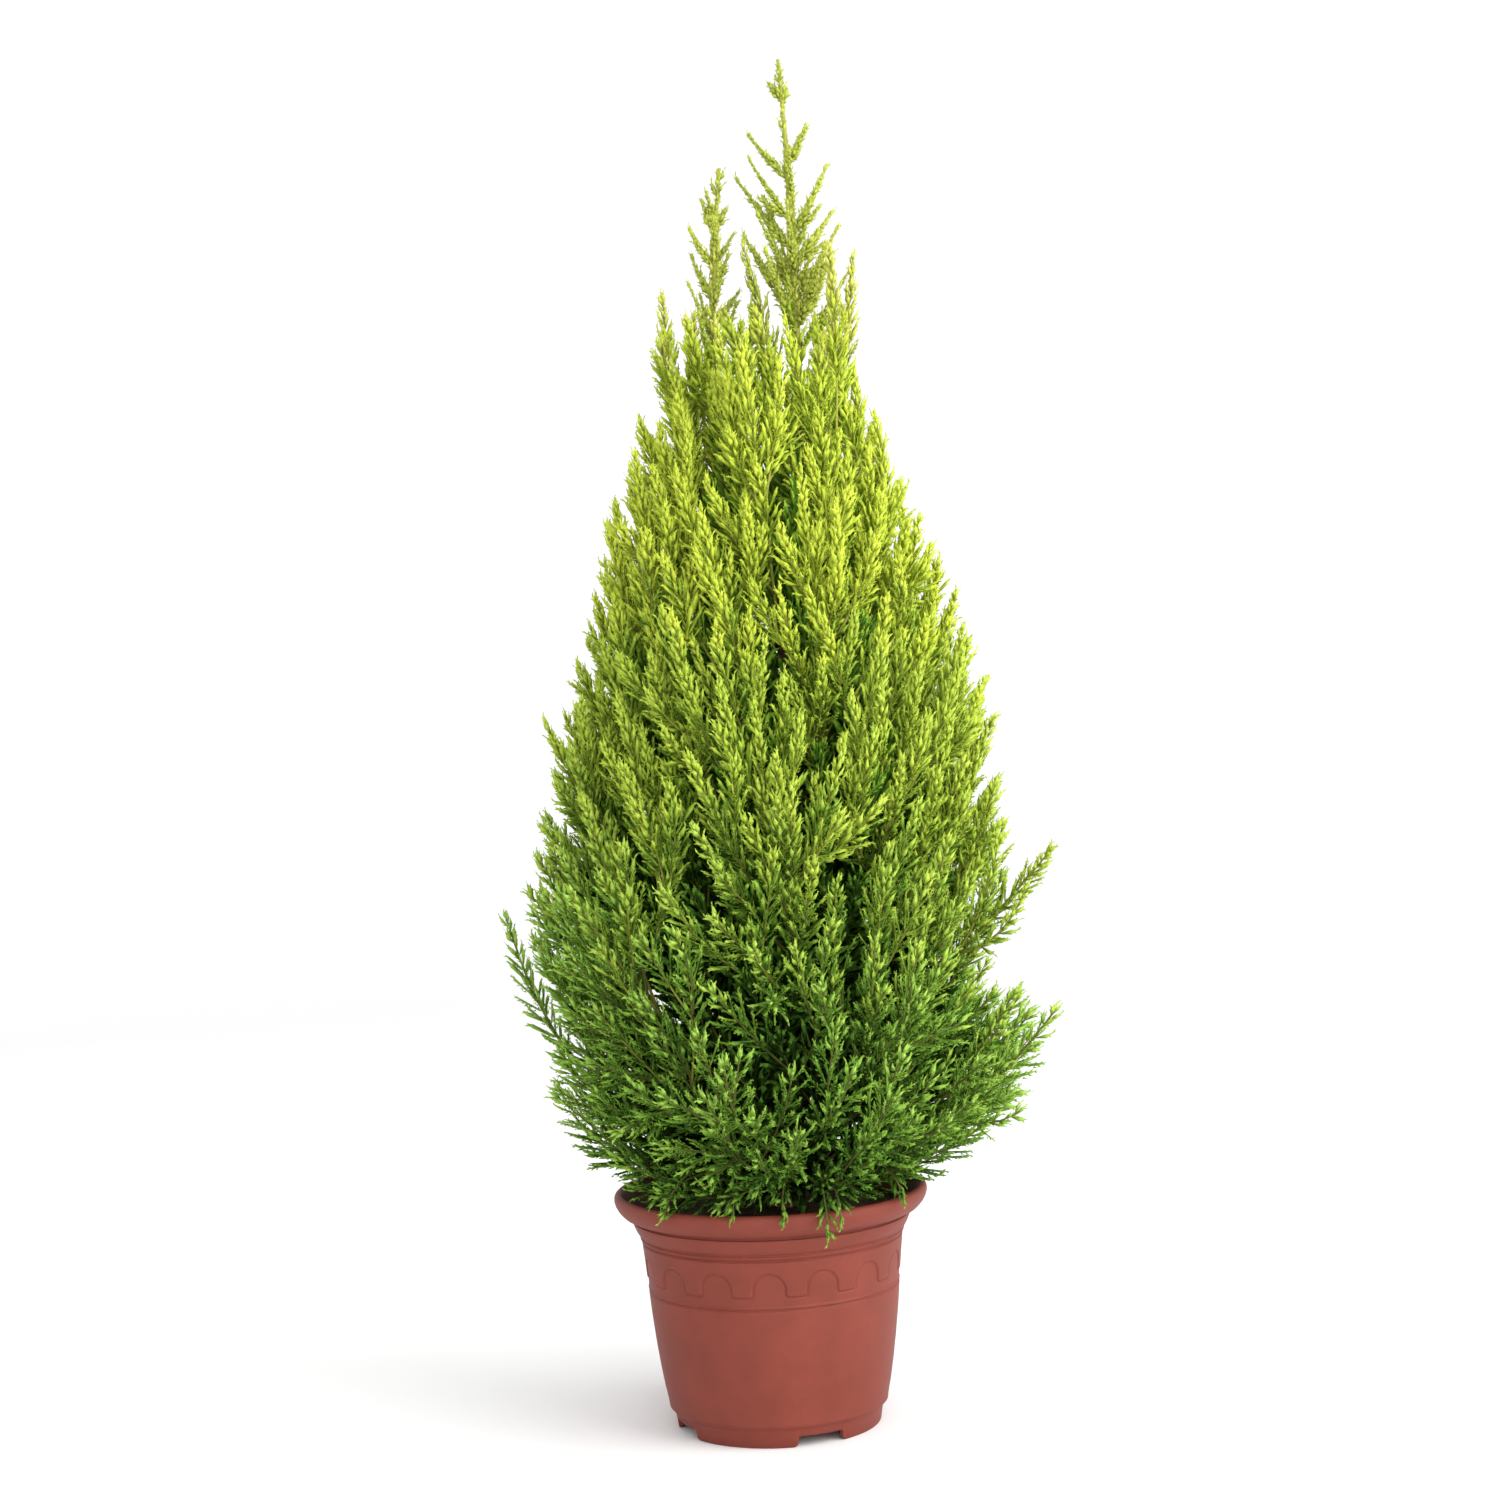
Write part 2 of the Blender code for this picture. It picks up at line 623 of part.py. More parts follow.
def add_spray(root, way, face, reach, size, fits, meshes):
    """A twig from root with a spray at its end, reaching as far as its space allows; returns its end."""
    for scale in REACH_SCALES:
        end = root + way * reach * scale
        length = min(SPRAY_LENGTH * size, SPRAY_SHARE * reach * scale)
        foot = end - way * length
        bare = [root.lerp(foot, share / 6) for share in range(2, 7)]
        for narrowing in WIDTH_SCALES:
            width = SPRAY_WIDTH * narrowing * (length / SPRAY_LENGTH) ** 0.5
            frame = spray_frame(foot, end, face)
            levels = 3 if length > LONG_SPRAY else 2
            if fits(bare + spray_samples(frame, length, width, levels)):
                meshes.append(twig_mesh([root, foot.lerp(end, 0.25)], [TWIG_RADIUS * 1.2, TWIG_RADIUS * 0.8]))
                meshes.append(spray_mesh(frame, length, width, levels))
                return end
    return None


def grow_twig(root, way, face, reach, size, rng, fits, meshes):
    """A twig that ends in a spray, and sprays in turn on its sides."""
    end = add_spray(root, way, face, reach, size, fits, meshes)
    if end is None:
        return
    across = way.cross(face).normalized()
    for number in range(SIDE_SPRAYS):
        side = across if number % 2 else -across
        side_way = (way + side * rng.uniform(0.55, 0.8) + face * rng.uniform(-0.2, 0.3)).normalized()
        place = root.lerp(end, SIDE_PLACE + 0.15 * number)
        add_spray(place, side_way, face, reach * rng.uniform(0.65, 0.85), size, fits, meshes)


def grow_mass(plan, number, stems, limbs, seed):
    """The core of one mass, and its stem, twigs and sprays."""
    rng = random.Random(seed)

    def fits(points):
        return keeps_to_space(points, plan, number, stems, limbs)

    radii = [plan.end_radius * (1 - (1 - STEM_TAPER) * step / STEM_STEPS) for step in range(STEM_STEPS + 1)]
    inside_spray = plan.stem_line[-2].lerp(plan.tip, 0.6)
    meshes = [twig_mesh(plan.stem_line[:-1] + [inside_spray], radii)]
    tip, growth = stem_place(plan, 1.0)
    length = min(SPRAY_LENGTH, 0.6 * plan.stem_length)
    frame = spray_frame(tip - growth * length, tip, growth.orthogonal())
    meshes.append(spray_mesh(frame, length, SPRAY_WIDTH * 0.7, 3))
    turn = rng.uniform(0, 2 * math.pi)
    twigs, size = (SPIRE_TWIGS, SPIRE_SPRAY) if plan.spire else (TWIGS, 1.0)
    for count in range(twigs):
        share = blend(LOWEST_TWIG, HIGHEST_TWIG, count / (twigs - 1))
        root, growth = stem_place(plan, share)
        side = growth.orthogonal().normalized()
        side.rotate(Matrix.Rotation(turn + count * GOLDEN_ANGLE, 3, growth))
        outward = (root - trunk_place(root.z)) * Vector((1, 1, 0))
        outward *= 0.0 if plan.spire else OUTWARD / max(outward.length, 0.01)
        way = (growth * TWIG_FORWARD + side + outward + Vector((0, 0, plan.lift))).normalized()
        reach = plan.stem_length * blend(REACH, REACH_AT_TIP, share) * rng.uniform(0.9, 1.1)
        face = side.cross(way).cross(way).normalized()
        grow_twig(root, way, face, reach, size, rng, fits, meshes)
    return core_mesh(plan, fits), meshes


def joined(name, core, meshes, collection):
    """The core and everything that grows through it, as one solid."""
    mass = add_object(name, core, collection)
    pieces = new_collection("mass_pieces")
    for mesh in meshes:
        add_object("mass_piece", mesh, pieces)
    boolean(mass, "UNION", pieces)
    for obj in list(pieces.objects):
        bpy.data.objects.remove(obj)
    bpy.data.collections.remove(pieces)
    main_shell_only(mass)
    return mass


def build_mass(plan, number, stems, limbs, collection, finish):
    """One mass of foliage, from the first seed that joins into a sound solid."""
    for attempt in range(SEED_TRIES):
        core, meshes = grow_mass(plan, number, stems, limbs, SEED + number + MASSES * attempt)
        mass = joined(f"foliage_{plan.name}", core, meshes, collection)
        if is_sound(mass.data):
            mass.data.materials.clear()
            mass.data.materials.append(finish)
            return mass
        bpy.data.objects.remove(mass)
    raise RuntimeError(f"no seed gives a sound solid for {plan.name}")


def build_bough(plan, trunk_cutter, collection, finish):
    radii = [plan.radius * (1 - (1 - BOUGH_TAPER) * step / BOUGH_STEPS) for step in range(BOUGH_STEPS + 1)]
    bough = limb(f"bough_{plan.name}", plan.bough_line, radii, collection, finish, 0)
    boolean(bough, "DIFFERENCE", trunk_cutter)
    return bough


def main():
    clear_scene()
    plant = new_collection("lemon_cypress")
    cutters = new_collection("cutters")
    plastic = material("pot_plastic", (0.42, 0.11, 0.075), 0.55)
    earth = material("soil", (0.035, 0.022, 0.015), 0.95)
    bark = material("bark", (0.19, 0.10, 0.065), 0.85)
    foliage = material("foliage", (0.28, 0.42, 0.05), 0.7)
    build_pot(plant, cutters, plastic)
    build_soil(plant, earth)
    trunk_cutter = build_trunk(plant, cutters, bark)
    plans = crown_plan()
    stems, limbs = crown_lines(plans)
    for number, plan in enumerate(plans):
        if plan.bough_line:
            build_bough(plan, trunk_cutter, plant, bark)
        build_mass(plan, number, stems, limbs, plant, foliage)
    cutters.hide_render = True


main()
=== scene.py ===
import math
import random
import bmesh
import bpy
import numpy as np
from mathutils import Matrix, Vector, noise


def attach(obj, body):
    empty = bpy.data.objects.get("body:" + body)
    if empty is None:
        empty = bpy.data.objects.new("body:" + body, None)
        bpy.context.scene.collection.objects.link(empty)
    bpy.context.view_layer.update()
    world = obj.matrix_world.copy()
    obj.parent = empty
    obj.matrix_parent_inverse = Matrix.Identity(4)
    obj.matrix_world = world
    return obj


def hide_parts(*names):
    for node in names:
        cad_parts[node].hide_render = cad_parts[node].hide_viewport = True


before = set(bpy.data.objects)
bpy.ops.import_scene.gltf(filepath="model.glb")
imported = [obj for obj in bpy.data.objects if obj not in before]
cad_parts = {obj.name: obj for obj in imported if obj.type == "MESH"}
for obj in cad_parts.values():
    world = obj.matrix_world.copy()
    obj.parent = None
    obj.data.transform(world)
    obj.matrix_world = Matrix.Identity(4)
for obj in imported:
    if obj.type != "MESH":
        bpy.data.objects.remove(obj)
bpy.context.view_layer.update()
print("frame loaded:", len(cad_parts), "nodes")

fullTurn = 2 * math.pi
goldenAngle = math.radians(137.5)


def between(low, high, share):
    return low + (high - low) * share


def clamp(value, low=0.0, high=1.0):
    return min(high, max(low, value))


def eased(share):
    return share * share * (3 - 2 * share)


def wobble(rng, most):
    return rng.uniform(-most, most)


def firstAbove(tops, height):
    return next(index for index, top in enumerate(tops) if height < top)


def polar(radius, angle, height):
    return (radius * math.cos(angle), radius * math.sin(angle), height)


def srgb(red, green, blue):  # a colour as read from a picture, 0 to 255
    return tuple((c / 255 / 12.92 if c < 11 else ((c / 255 + 0.055) / 1.055) ** 2.4)
                 for c in (red, green, blue))


# materials: plain ones, and ones with two tones by a noise on the piece's own coordinates

def addNode(tree, kind, values={}):
    node = tree.nodes.new(kind)
    for socket, value in values.items():
        node.inputs[socket].default_value = value
    return node


def connect(tree, *joins):  # each join names a node and its output, then a node and its input
    for source, output, target, entry in joins:
        tree.links.new(source.outputs[output], target.inputs[entry])


def plainMaterial(name, colour, roughness, specular):
    made = bpy.data.materials.new(name)
    made.use_nodes = True
    shader = made.node_tree.nodes["Principled BSDF"]
    shader.inputs["Base Color"].default_value = (*colour, 1.0)
    shader.inputs["Roughness"].default_value = roughness
    shader.inputs["Specular IOR Level"].default_value = specular
    return made


def mottledMaterial(name, look):
    made = plainMaterial(name, srgb(*look["plain"]), look["roughness"], look["specular"])
    tree = made.node_tree
    shader = tree.nodes["Principled BSDF"]
    place = addNode(tree, "ShaderNodeTexCoord")
    cloudy = addNode(tree, "ShaderNodeTexNoise", {"Scale": look["scale"], "Detail": look["detail"]})
    tone = addNode(tree, "ShaderNodeValToRGB")
    for element, position, colour in zip(tone.color_ramp.elements, look["spread"], look["tones"]):
        element.position = position
        element.color = (*srgb(*colour), 1)
    strength, distance = look["relief"]
    bump = addNode(tree, "ShaderNodeBump", {"Strength": strength, "Distance": distance})
    connect(tree, (cloudy, "Fac", tone, "Fac"), (tone, "Color", shader, "Base Color"),
            (bump, "Normal", shader, "Normal"))
    if "stretch" in look:  # fibres, longer one way
        stretch = addNode(tree, "ShaderNodeMapping", {"Scale": look["stretch"]})
        connect(tree, (place, "Object", stretch, "Vector"), (stretch, "Vector", cloudy, "Vector"))
    else:
        connect(tree, (place, "Object", cloudy, "Vector"))
    if "grain" in look:  # a relief finer than the two tones
        scale, detail = look["grain"]
        grain = addNode(tree, "ShaderNodeTexNoise", {"Scale": scale, "Detail": detail})
        connect(tree, (place, "Object", grain, "Vector"), (grain, "Fac", bump, "Height"))
    else:
        connect(tree, (cloudy, "Fac", bump, "Height"))
    if "wear" in look:  # roughness from and to
        dull = dict(zip(("To Min", "To Max"), look["wear"]))
        wear = addNode(tree, "ShaderNodeMapRange", dull)
        connect(tree, (cloudy, "Fac", wear, "Value"), (wear, "Result", shader, "Roughness"))
    return made


def linked(name, data):  # a new object in the scene
    obj = bpy.data.objects.new(name, data)
    bpy.context.collection.objects.link(obj)
    return obj


def smoothMesh(name, vertices, faces):
    mesh = bpy.data.meshes.new(name)
    mesh.from_pydata([tuple(v) for v in vertices], [], [tuple(f) for f in faces])
    mesh.polygons.foreach_set("use_smooth", [True] * len(faces))
    return mesh


def meshObject(name, vertices, faces, materials):
    mesh = smoothMesh(name, vertices, faces)
    for material in materials:
        mesh.materials.append(material)
    return linked(name, mesh)


def ringQuads(first, rows, sides):  # faces between rings of points that follow one another
    quads = []
    for row in range(rows - 1):
        for k in range(sides):
            a, b = first + row * sides + k, first + row * sides + (k + 1) % sides
            quads.append((a, b, b + sides, a + sides))
    return quads


def turnedOver(quads):
    return [(a, d, c, b) for a, b, c, d in quads]


# camera, at the photograph's viewing angle

view = dict(place=(-0.0014, -1.9, 0.5262), pitch=math.radians(1.6032), roll=math.radians(2.4),
            lens=65.104, nearest=0.05, furthest=30.0)


def placeCamera():
    forward = Vector((0, math.cos(view["pitch"]), -math.sin(view["pitch"])))
    level = Vector((1, 0, 0))
    upright = level.cross(forward)
    across = math.cos(view["roll"]) * level - math.sin(view["roll"]) * upright
    above = math.sin(view["roll"]) * level + math.cos(view["roll"]) * upright
    camera = linked("camera", bpy.data.cameras.new("camera"))
    axes = Matrix((across, above, -forward)).transposed().to_4x4()
    camera.matrix_world = Matrix.Translation(view["place"]) @ axes
    camera.data.lens = view["lens"]
    camera.data.clip_start, camera.data.clip_end = view["nearest"], view["furthest"]
    bpy.context.scene.camera = camera


placeCamera()

# light: a white room, a broad lamp from the right and front, soft ones from above and the front

studio = dict(
    room=0.84, lampTarget=(0, 0, 0.45),
    lamps=(  # name, place, size, power
        ("keyLamp", (1.95, -1.15, 1.65), 2.6, 75.0), ("topLamp", (0.25, -0.35, 2.9), 3.0, 24.0),
        ("fillLamp", (0.25, -2.9, 1.25), 1.8, 27.0)),
    floorTint=0.88, floorRings=(0.6, 1.4, 2.6), floorBend=1.5, bendSteps=16, wallTop=2.6,
    floorSides=72, floorSink=0.0002,
    floorLook=(0.9, 0.1))  # roughness, specular


def areaLamp(name, place, size, power):
    lamp = linked(name, bpy.data.lights.new(name, "AREA"))
    lamp.data.shape = "DISK"
    lamp.data.size = size
    lamp.data.energy = power
    lamp.location = place
    aim = Vector(studio["lampTarget"]) - Vector(place)
    lamp.rotation_euler = aim.to_track_quat("-Z", "Y").to_euler()


def lightRoom():
    world = bpy.data.worlds.new("studio")
    world.use_nodes = True
    world.node_tree.nodes["Background"].inputs["Color"].default_value = (1, 1, 1, 1)
    world.node_tree.nodes["Background"].inputs["Strength"].default_value = studio["room"]
    bpy.context.scene.world = world
    bpy.context.scene.view_settings.view_transform = "Standard"
    for lamp in studio["lamps"]:
        areaLamp(*lamp)


def makeFloor():  # level round the plant, then bent up all round into a low plain wall
    bend, steps, sides = studio["floorBend"], studio["bendSteps"], studio["floorSides"]
    reach, sink = studio["floorRings"][-1], studio["floorSink"]
    line = [(radius, 0.0) for radius in studio["floorRings"]]
    for k in range(1, steps + 1):
        angle = k * math.pi / (2 * steps)
        line.append((reach + bend * math.sin(angle), bend * (1 - math.cos(angle))))
    line.append((reach + bend, studio["wallTop"]))
    vertices, faces = [(0, 0, -sink)], [(0, 1 + k, 1 + (k + 1) % sides) for k in range(sides)]
    for radius, height in line:
        vertices += [polar(radius, fullTurn * k / sides, height - sink) for k in range(sides)]
    faces += turnedOver(ringQuads(1, len(line), sides))
    paint = plainMaterial("paleFloor", (studio["floorTint"],) * 3, *studio["floorLook"])
    floor = meshObject("floor", vertices, faces, [paint])


lightRoom()
makeFloor()
print("camera, lamps and floor set")

# the pot: its wall, arch band, lip and notched foot ring

potShape = dict(
    archCount=15, archPhase=math.radians(-2.5), archWidth=0.0224, archLeg=0.0052, archFoot=0.1063,
    archSunk=0.00065, archCorner=0.0024, wallHalf=0.00090, grooveDepth=0.00080, grooveHalf=0.0014,
    bandLow=0.0995, bandHigh=0.1290, bandRows=62, bandRadius=(0.0885, 0.0914), bandBow=0.15,
    bandMiddle=0.090, bandSoft=0.0012,
    lineColumns=(-1.5, -1.1, -0.75, -0.35, 0.0, 0.35, 0.75, 1.1, 1.5),  # mm from an arch's line
    insideStep=0.7, topColumns=(2.9, 1.45), gapColumns=6,
    ringOuter=0.0715, ringWidth=0.003, ringTop=0.0135, ringSpread=0.0022, ringLean=0.0004,
    ringSoft=0.0005, notches=4, notchHalf=math.radians(13.5), firstNotch=math.radians(-67),
    notchHeight=0.0075, notchCorner=0.0022, footCorner=0.0032, sharpest=math.radians(38),
    ringSteps=(5, 6, 8, 11), footStart=0.00005, ringStart=0.001,
    wallBelow=[  # radius and height in mm, from the middle of the underside up to the arch band
        (0, 9.6), (30, 9.6), (60, 9.8), (69.5, 10.2), (73.4, 11.4), (74.0, 13.2), (74.5, 13.9),
        (76.1, 14.3), (76.9, 15.2), (77.15, 17), (78.0, 22), (79.7, 30), (82.2, 45), (84.3, 60),
        (86.7, 80), (88.0, 94), (88.2, 96.4), (88.05, 96.9), (87.5, 97.4), (87.4, 98.1),
        (88.0, 98.6), (88.35, 99.0)],
    wallAbove=[  # from the arch band up over the lip, and down inside
        (91.5, 130.0), (91.6, 130.5), (91.3, 131.1), (90.6, 131.7), (90.6, 132.4), (91.4, 133.0),
        (92.4, 133.5), (92.8, 134.3), (92.6, 134.9), (92.0, 135.4), (92.0, 136.1), (93.0, 136.8),
        (94.0, 137.8), (95.1, 139.6), (96.2, 142), (97.2, 144.4), (97.8, 146.0), (97.9, 147.0),
        (96.9, 147.5), (96.6, 148.4), (96.8, 149.3), (98.2, 149.8), (100.6, 150.1), (102.4, 150.5),
        (103.9, 151.1), (105.7, 152.8), (107.7, 155.2), (109.2, 158), (110.0, 160.8),
        (109.95, 162.8), (109.3, 164.5), (108.0, 165.6), (106.4, 166.0), (105.0, 165.6),
        (104.1, 164.6), (103.4, 163.0), (101.7, 158), (98.6, 152.6), (95.3, 148.6), (93.0, 141),
        (87.8, 132), (84.6, 98), (72.5, 14.0), (40, 13.0), (0, 12.6)],
    look=dict(plain=(146, 66, 50), roughness=0.55, specular=0.22, scale=38.0, detail=5.0,
              spread=(0.32, 0.68), tones=((115, 52, 40), (125, 57, 45)), relief=(0.22, 0.0005),
              grain=(900.0, 3.0), wear=(0.50, 0.62)))


def archColumns():  # angles round the pot, closest where an arch's line runs
    shape = potShape
    half, middle = shape["archWidth"] / 2 * 1000, shape["bandMiddle"] * 1000
    pitch = fullTurn / shape["archCount"]
    edge = shape["lineColumns"][-1]
    steps = [half + aside for aside in shape["lineColumns"]]
    steps += [half - edge - shape["insideStep"] * k for k in range(1, 8)]
    steps += shape["topColumns"]
    steps += [-step for step in steps] + [0.0]
    gap = pitch * middle - 2 * (half + edge)
    steps += [half + edge + gap * k / shape["gapColumns"] for k in range(1, shape["gapColumns"])]
    front = shape["archPhase"] - math.pi / 2
    return sorted((front + number * pitch + step / middle) % fullTurn
                  for number in range(shape["archCount"]) for step in steps)


def archOffset(angle, height):  # how far the wall is set in along the arches and inside them
    shape = potShape
    pitch = fullTurn / shape["archCount"]
    turn = angle + math.pi / 2 - shape["archPhase"]
    aside = abs(turn - round(turn / pitch) * pitch) * shape["bandMiddle"]
    middle = shape["archFoot"] + shape["archLeg"]
    half, corner = shape["archWidth"] / 2, shape["archCorner"]
    fromLeg, fromFoot = half + corner - aside, shape["archFoot"] + corner - height
    if height > middle:
        depth = half - math.hypot(aside, height - middle)
    elif fromLeg > 0 and fromFoot > 0:
        depth = math.hypot(fromLeg, fromFoot) - corner
    else:
        depth = max(fromLeg, fromFoot) - corner
    groove = eased(max(0.0, 1 - abs(depth) / shape["grooveHalf"]))
    sunk = eased(clamp(0.5 + depth / shape["wallHalf"] / 2))
    low = clamp((height - shape["bandLow"]) / shape["bandSoft"])  # level again at the lower line
    return (shape["grooveDepth"] * groove + shape["archSunk"] * sunk) * low


def potWall():
    shape, columns = potShape, archColumns()
    count, bow = len(columns), shape["bandBow"]
    rows = [(radius / 1000, height / 1000, False) for radius, height in shape["wallBelow"]]
    for row in range(shape["bandRows"] + 1):
        share = row / shape["bandRows"]
        radius = between(*shape["bandRadius"], (1 - bow) * share + bow * share * share)
        rows.append((radius, between(shape["bandLow"], shape["bandHigh"], share), True))
    rows += [(radius / 1000, height / 1000, False) for radius, height in shape["wallAbove"]]
    vertices, rings, faces = [], [], []
    for radius, height, relief in rows:
        rings.append(len(vertices))
        for angle in columns[:1 if radius == 0 else count]:
            reach = radius - (archOffset(angle, height) if relief else 0.0)
            vertices.append(polar(reach, angle, height))
    for index, (low, high) in enumerate(zip(rings, rings[1:])):
        for i in range(count):
            j = (i + 1) % count
            if rows[index][0] == 0:
                faces.append((low, high + j, high + i))
            elif rows[index + 1][0] == 0:
                faces.append((low + i, low + j, high))
            else:
                faces.append((low + i, low + j, high + j, high + i))
    return vertices, faces


def footEdge(aside):  # height of the foot's lower edge, by the distance from a notch's middle
    shape = potShape
    end = shape["notchHalf"] * shape["ringOuter"]
    height, foot, corner = shape["notchHeight"], shape["footCorner"], shape["notchCorner"]
    if aside <= end - corner:
        return height
    if aside <= end:
        return height - corner + math.sqrt(max(0.0, corner ** 2 - (aside - end + corner) ** 2))
    if aside <= end + foot:
        return foot - math.sqrt(max(0.0, foot ** 2 - (end + foot - aside) ** 2))
    return 0.0


def footRing():  # a thin ring with drain notches, rounded at the corners
    shape = potShape
    soft, spread, top = shape["ringSoft"], shape["ringSpread"], shape["ringTop"]
    outer = shape["ringOuter"]
    inner = outer - shape["ringWidth"]
    end, quarter = shape["notchHalf"] * outer, math.pi / shape["notches"] * outer
    # from a notch's middle: across it, round its two corners, then along the ring
    wide, upper, lower, rest = shape["ringSteps"]
    notch, foot, start = shape["notchCorner"], shape["footCorner"], end + shape["footStart"]
    asides = [end * k / wide for k in range(wide)]
    asides += [end - notch * (1 - math.sin(k * math.pi / 2 / upper)) for k in range(upper + 1)]
    asides += [start + foot * (1 - math.cos(k * math.pi / 2 / lower)) for k in range(lower + 1)]
    start = end + foot + shape["ringStart"]
    asides += [between(start, quarter, k / rest) for k in range(rest + 1)]
    stops = []
    for number in range(shape["notches"]):
        centre = shape["firstNotch"] + number * fullTurn / shape["notches"]
        for aside in asides:
            rise = footEdge(aside)
            stops.append(((centre + aside / outer) % fullTurn, rise))
            if 0 < aside < quarter - 1e-6:
                stops.append(((centre - aside / outer) % fullTurn, rise))
    vertices = []
    for angle, rise in sorted(stops):
        low = rise / top * spread
        for radius, height in ((inner + shape["ringLean"], top), (inner, rise + soft),
                               (inner + soft, rise), (outer + low - soft, rise),
                               (outer + low, rise + soft), (outer + spread, top)):
            vertices.append(polar(radius, angle, height))
    closed = [tuple(i % len(vertices) for i in quad) for quad in ringQuads(0, len(stops) + 1, 6)]
    return vertices, closed


def makePot():
    vertices, faces = potWall()
    ringVertices, ringFaces = footRing()
    shift = len(vertices)
    vertices += ringVertices
    faces += [tuple(i + shift for i in face) for face in ringFaces]
    plastic = mottledMaterial("terracottaPlastic", potShape["look"])
    pot = meshObject("plantPot", vertices, faces, [plastic])
    bm = bmesh.new()
    bm.from_mesh(pot.data)
    bmesh.ops.recalc_face_normals(bm, faces=bm.faces)
    for edge in bm.edges:
        if len(edge.link_faces) == 2:
            edge.smooth = edge.calc_face_angle() < potShape["sharpest"]
    bm.to_mesh(pot.data)
    bm.free()
    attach(pot, "root")
    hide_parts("pot")


makePot()
print("pot made")

# the potting mix

soilShape = dict(
    radius=0.0959, middle=0.1512, edge=0.1488, rings=46, columns=150, lump=0.0011, highest=0.0008,
    crumbs=((210, 0.3, 1.0), (520, 4.1, 0.5)),  # how fine, from which layer of the noise, how much
    under=0.137, underRadius=0.086,
    look=dict(plain=(52, 40, 30), roughness=0.95, specular=0.2, scale=420.0, detail=6.0,
              spread=(0.0, 1.0), tones=((24, 18, 13), (92, 72, 52)), relief=(0.8, 0.001)))


def makeSoil():
    shape = soilShape
    rings, columns, middle = shape["rings"], shape["columns"], shape["middle"]
    angles = [fullTurn * column / columns for column in range(columns)]
    vertices = [(0, 0, middle)]
    for ring in range(1, rings + 1):
        share = ring / rings
        for angle in angles:
            height = between(middle, shape["edge"], share)
            x, y, _ = polar(shape["radius"] * share, angle, height)
            crumbs = sum(weight * noise.noise((x * scale, y * scale, layer))
                         for scale, layer, weight in shape["crumbs"])
            height += shape["lump"] * crumbs
            vertices.append((x, y, min(height, middle + shape["highest"])))
    faces = [(0, 1 + i, 1 + (i + 1) % columns) for i in range(columns)]
    faces += turnedOver(ringQuads(1, rings, columns))
    rim, start = 1 + (rings - 1) * columns, len(vertices)
    vertices += [polar(shape["underRadius"], angle, shape["under"]) for angle in angles]
    vertices.append((0, 0, shape["under"]))
    last = len(vertices) - 1
    for i in range(columns):
        j = (i + 1) % columns
        faces += [(rim + i, start + i, start + j, rim + j), (start + i, last, start + j)]
    soil = meshObject("pottingMix", vertices, faces, [mottledMaterial("pottingMix", shape["look"])])
    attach(soil, "root")
    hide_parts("soil")


makeSoil()
print("potting mix made")

# how the plant is laid out: the trunk, the crown's outline and a bough and stem for each mass

trunkShape = dict(
    foot=Vector((0.010, 0.004, 0.1523)), head=Vector((0.042, -0.001, 0.700)), bow=0.004,
    sway=0.35, topHeight=0.70, radius=0.0072, headRadius=0.0026, thinning=0.9, flare=0.0040,
    flareHeight=0.016)
crownShape = dict(
    top=Vector((0.038, -0.002, 0.952)), depth=1.02, lowestLeaf=0.168,
    outline=np.array((  # in mm: height, reach to the left, reach to the right
        (168, -108, 110), (195, -134, 148), (240, -160, 190), (281, -158, 196), (320, -164, 164),
        (362, -172, 172), (394, -168, 178), (435, -158, 176), (490, -146, 170), (558, -124, 154),
        (640, -100, 126), (690, -78, 98), (740, -64, 89), (815, -42, 85), (870, -34, 72),
        (960, 10, 60))) / 1000)
massLayout = dict(
    count=27, firstAzimuth=math.radians(-20), lowestTip=0.235, highestTip=0.812, tipEase=1.02,
    height=(0.120, 0.185), footShare=0.36, boughRise=(0.024, 0.060), lowestBough=0.176,
    boughStep=0.009, leastRise=0.006, boughRadius=(0.0034, 0.0021), boughTaper=0.62,
    lift=(-0.10, 0.75), liftEase=0.7, climb=0.5, boughBend=0.55, stemBend=0.45, segments=8,
    furthestTips=(Vector((0.1945, -0.095, 0.293)), Vector((0.1955, -0.100, 0.401)),
                  Vector((-0.1870, 0.105, 0.353))),
    zones=(("skirt", 0.300), ("lower", 0.430), ("middle", 0.600), ("upper", 0.900)))
leaders = dict(
    side=dict(name="side_leader", end=Vector((-0.010, 0.006, 0.600)), radius=0.0032,
              tip=Vector((-0.006, 0.000, 0.879)), bow=Vector((-0.0165, 0.0, 0.0)),
              way=Vector((-0.35, 0.03, 1.0)).normalized(), lift=1.0, spire=0.21),
    main=dict(name="leader", end=trunkShape["head"], tip=crownShape["top"], lift=0.7, spire=0.24),
    sideLeaves=0.405, runUp=0.03, taper=0.9)


class Grown:  # a mass or a twig, with its named values
    def __init__(self, **values):
        for name, value in values.items():
            setattr(self, name, value)


def trunkShare(height):
    return (height - trunkShape["foot"].z) / (trunkShape["head"].z - trunkShape["foot"].z)


def trunkPlace(height):
    share, sway = trunkShare(height), trunkShape["sway"]
    place = trunkShape["foot"].lerp(trunkShape["head"], eased(share) * sway + share * (1 - sway))
    bow = trunkShape["bow"] * math.sin(math.pi * share) * (1 - math.cos(fullTurn * share)) / 2
    return Vector((place.x - bow, place.y + bow, height))


def trunkBeside(height):  # the same up to the trunk's head, and its head above that
    return trunkPlace(min(height, trunkShape["topHeight"]))


def trunkRadius(height):
    above = height - trunkShape["foot"].z
    flare = trunkShape["flare"] * math.exp(-above / trunkShape["flareHeight"])
    share = max(0.0, trunkShare(height)) ** trunkShape["thinning"]
    return between(trunkShape["radius"], trunkShape["headRadius"], share) + flare


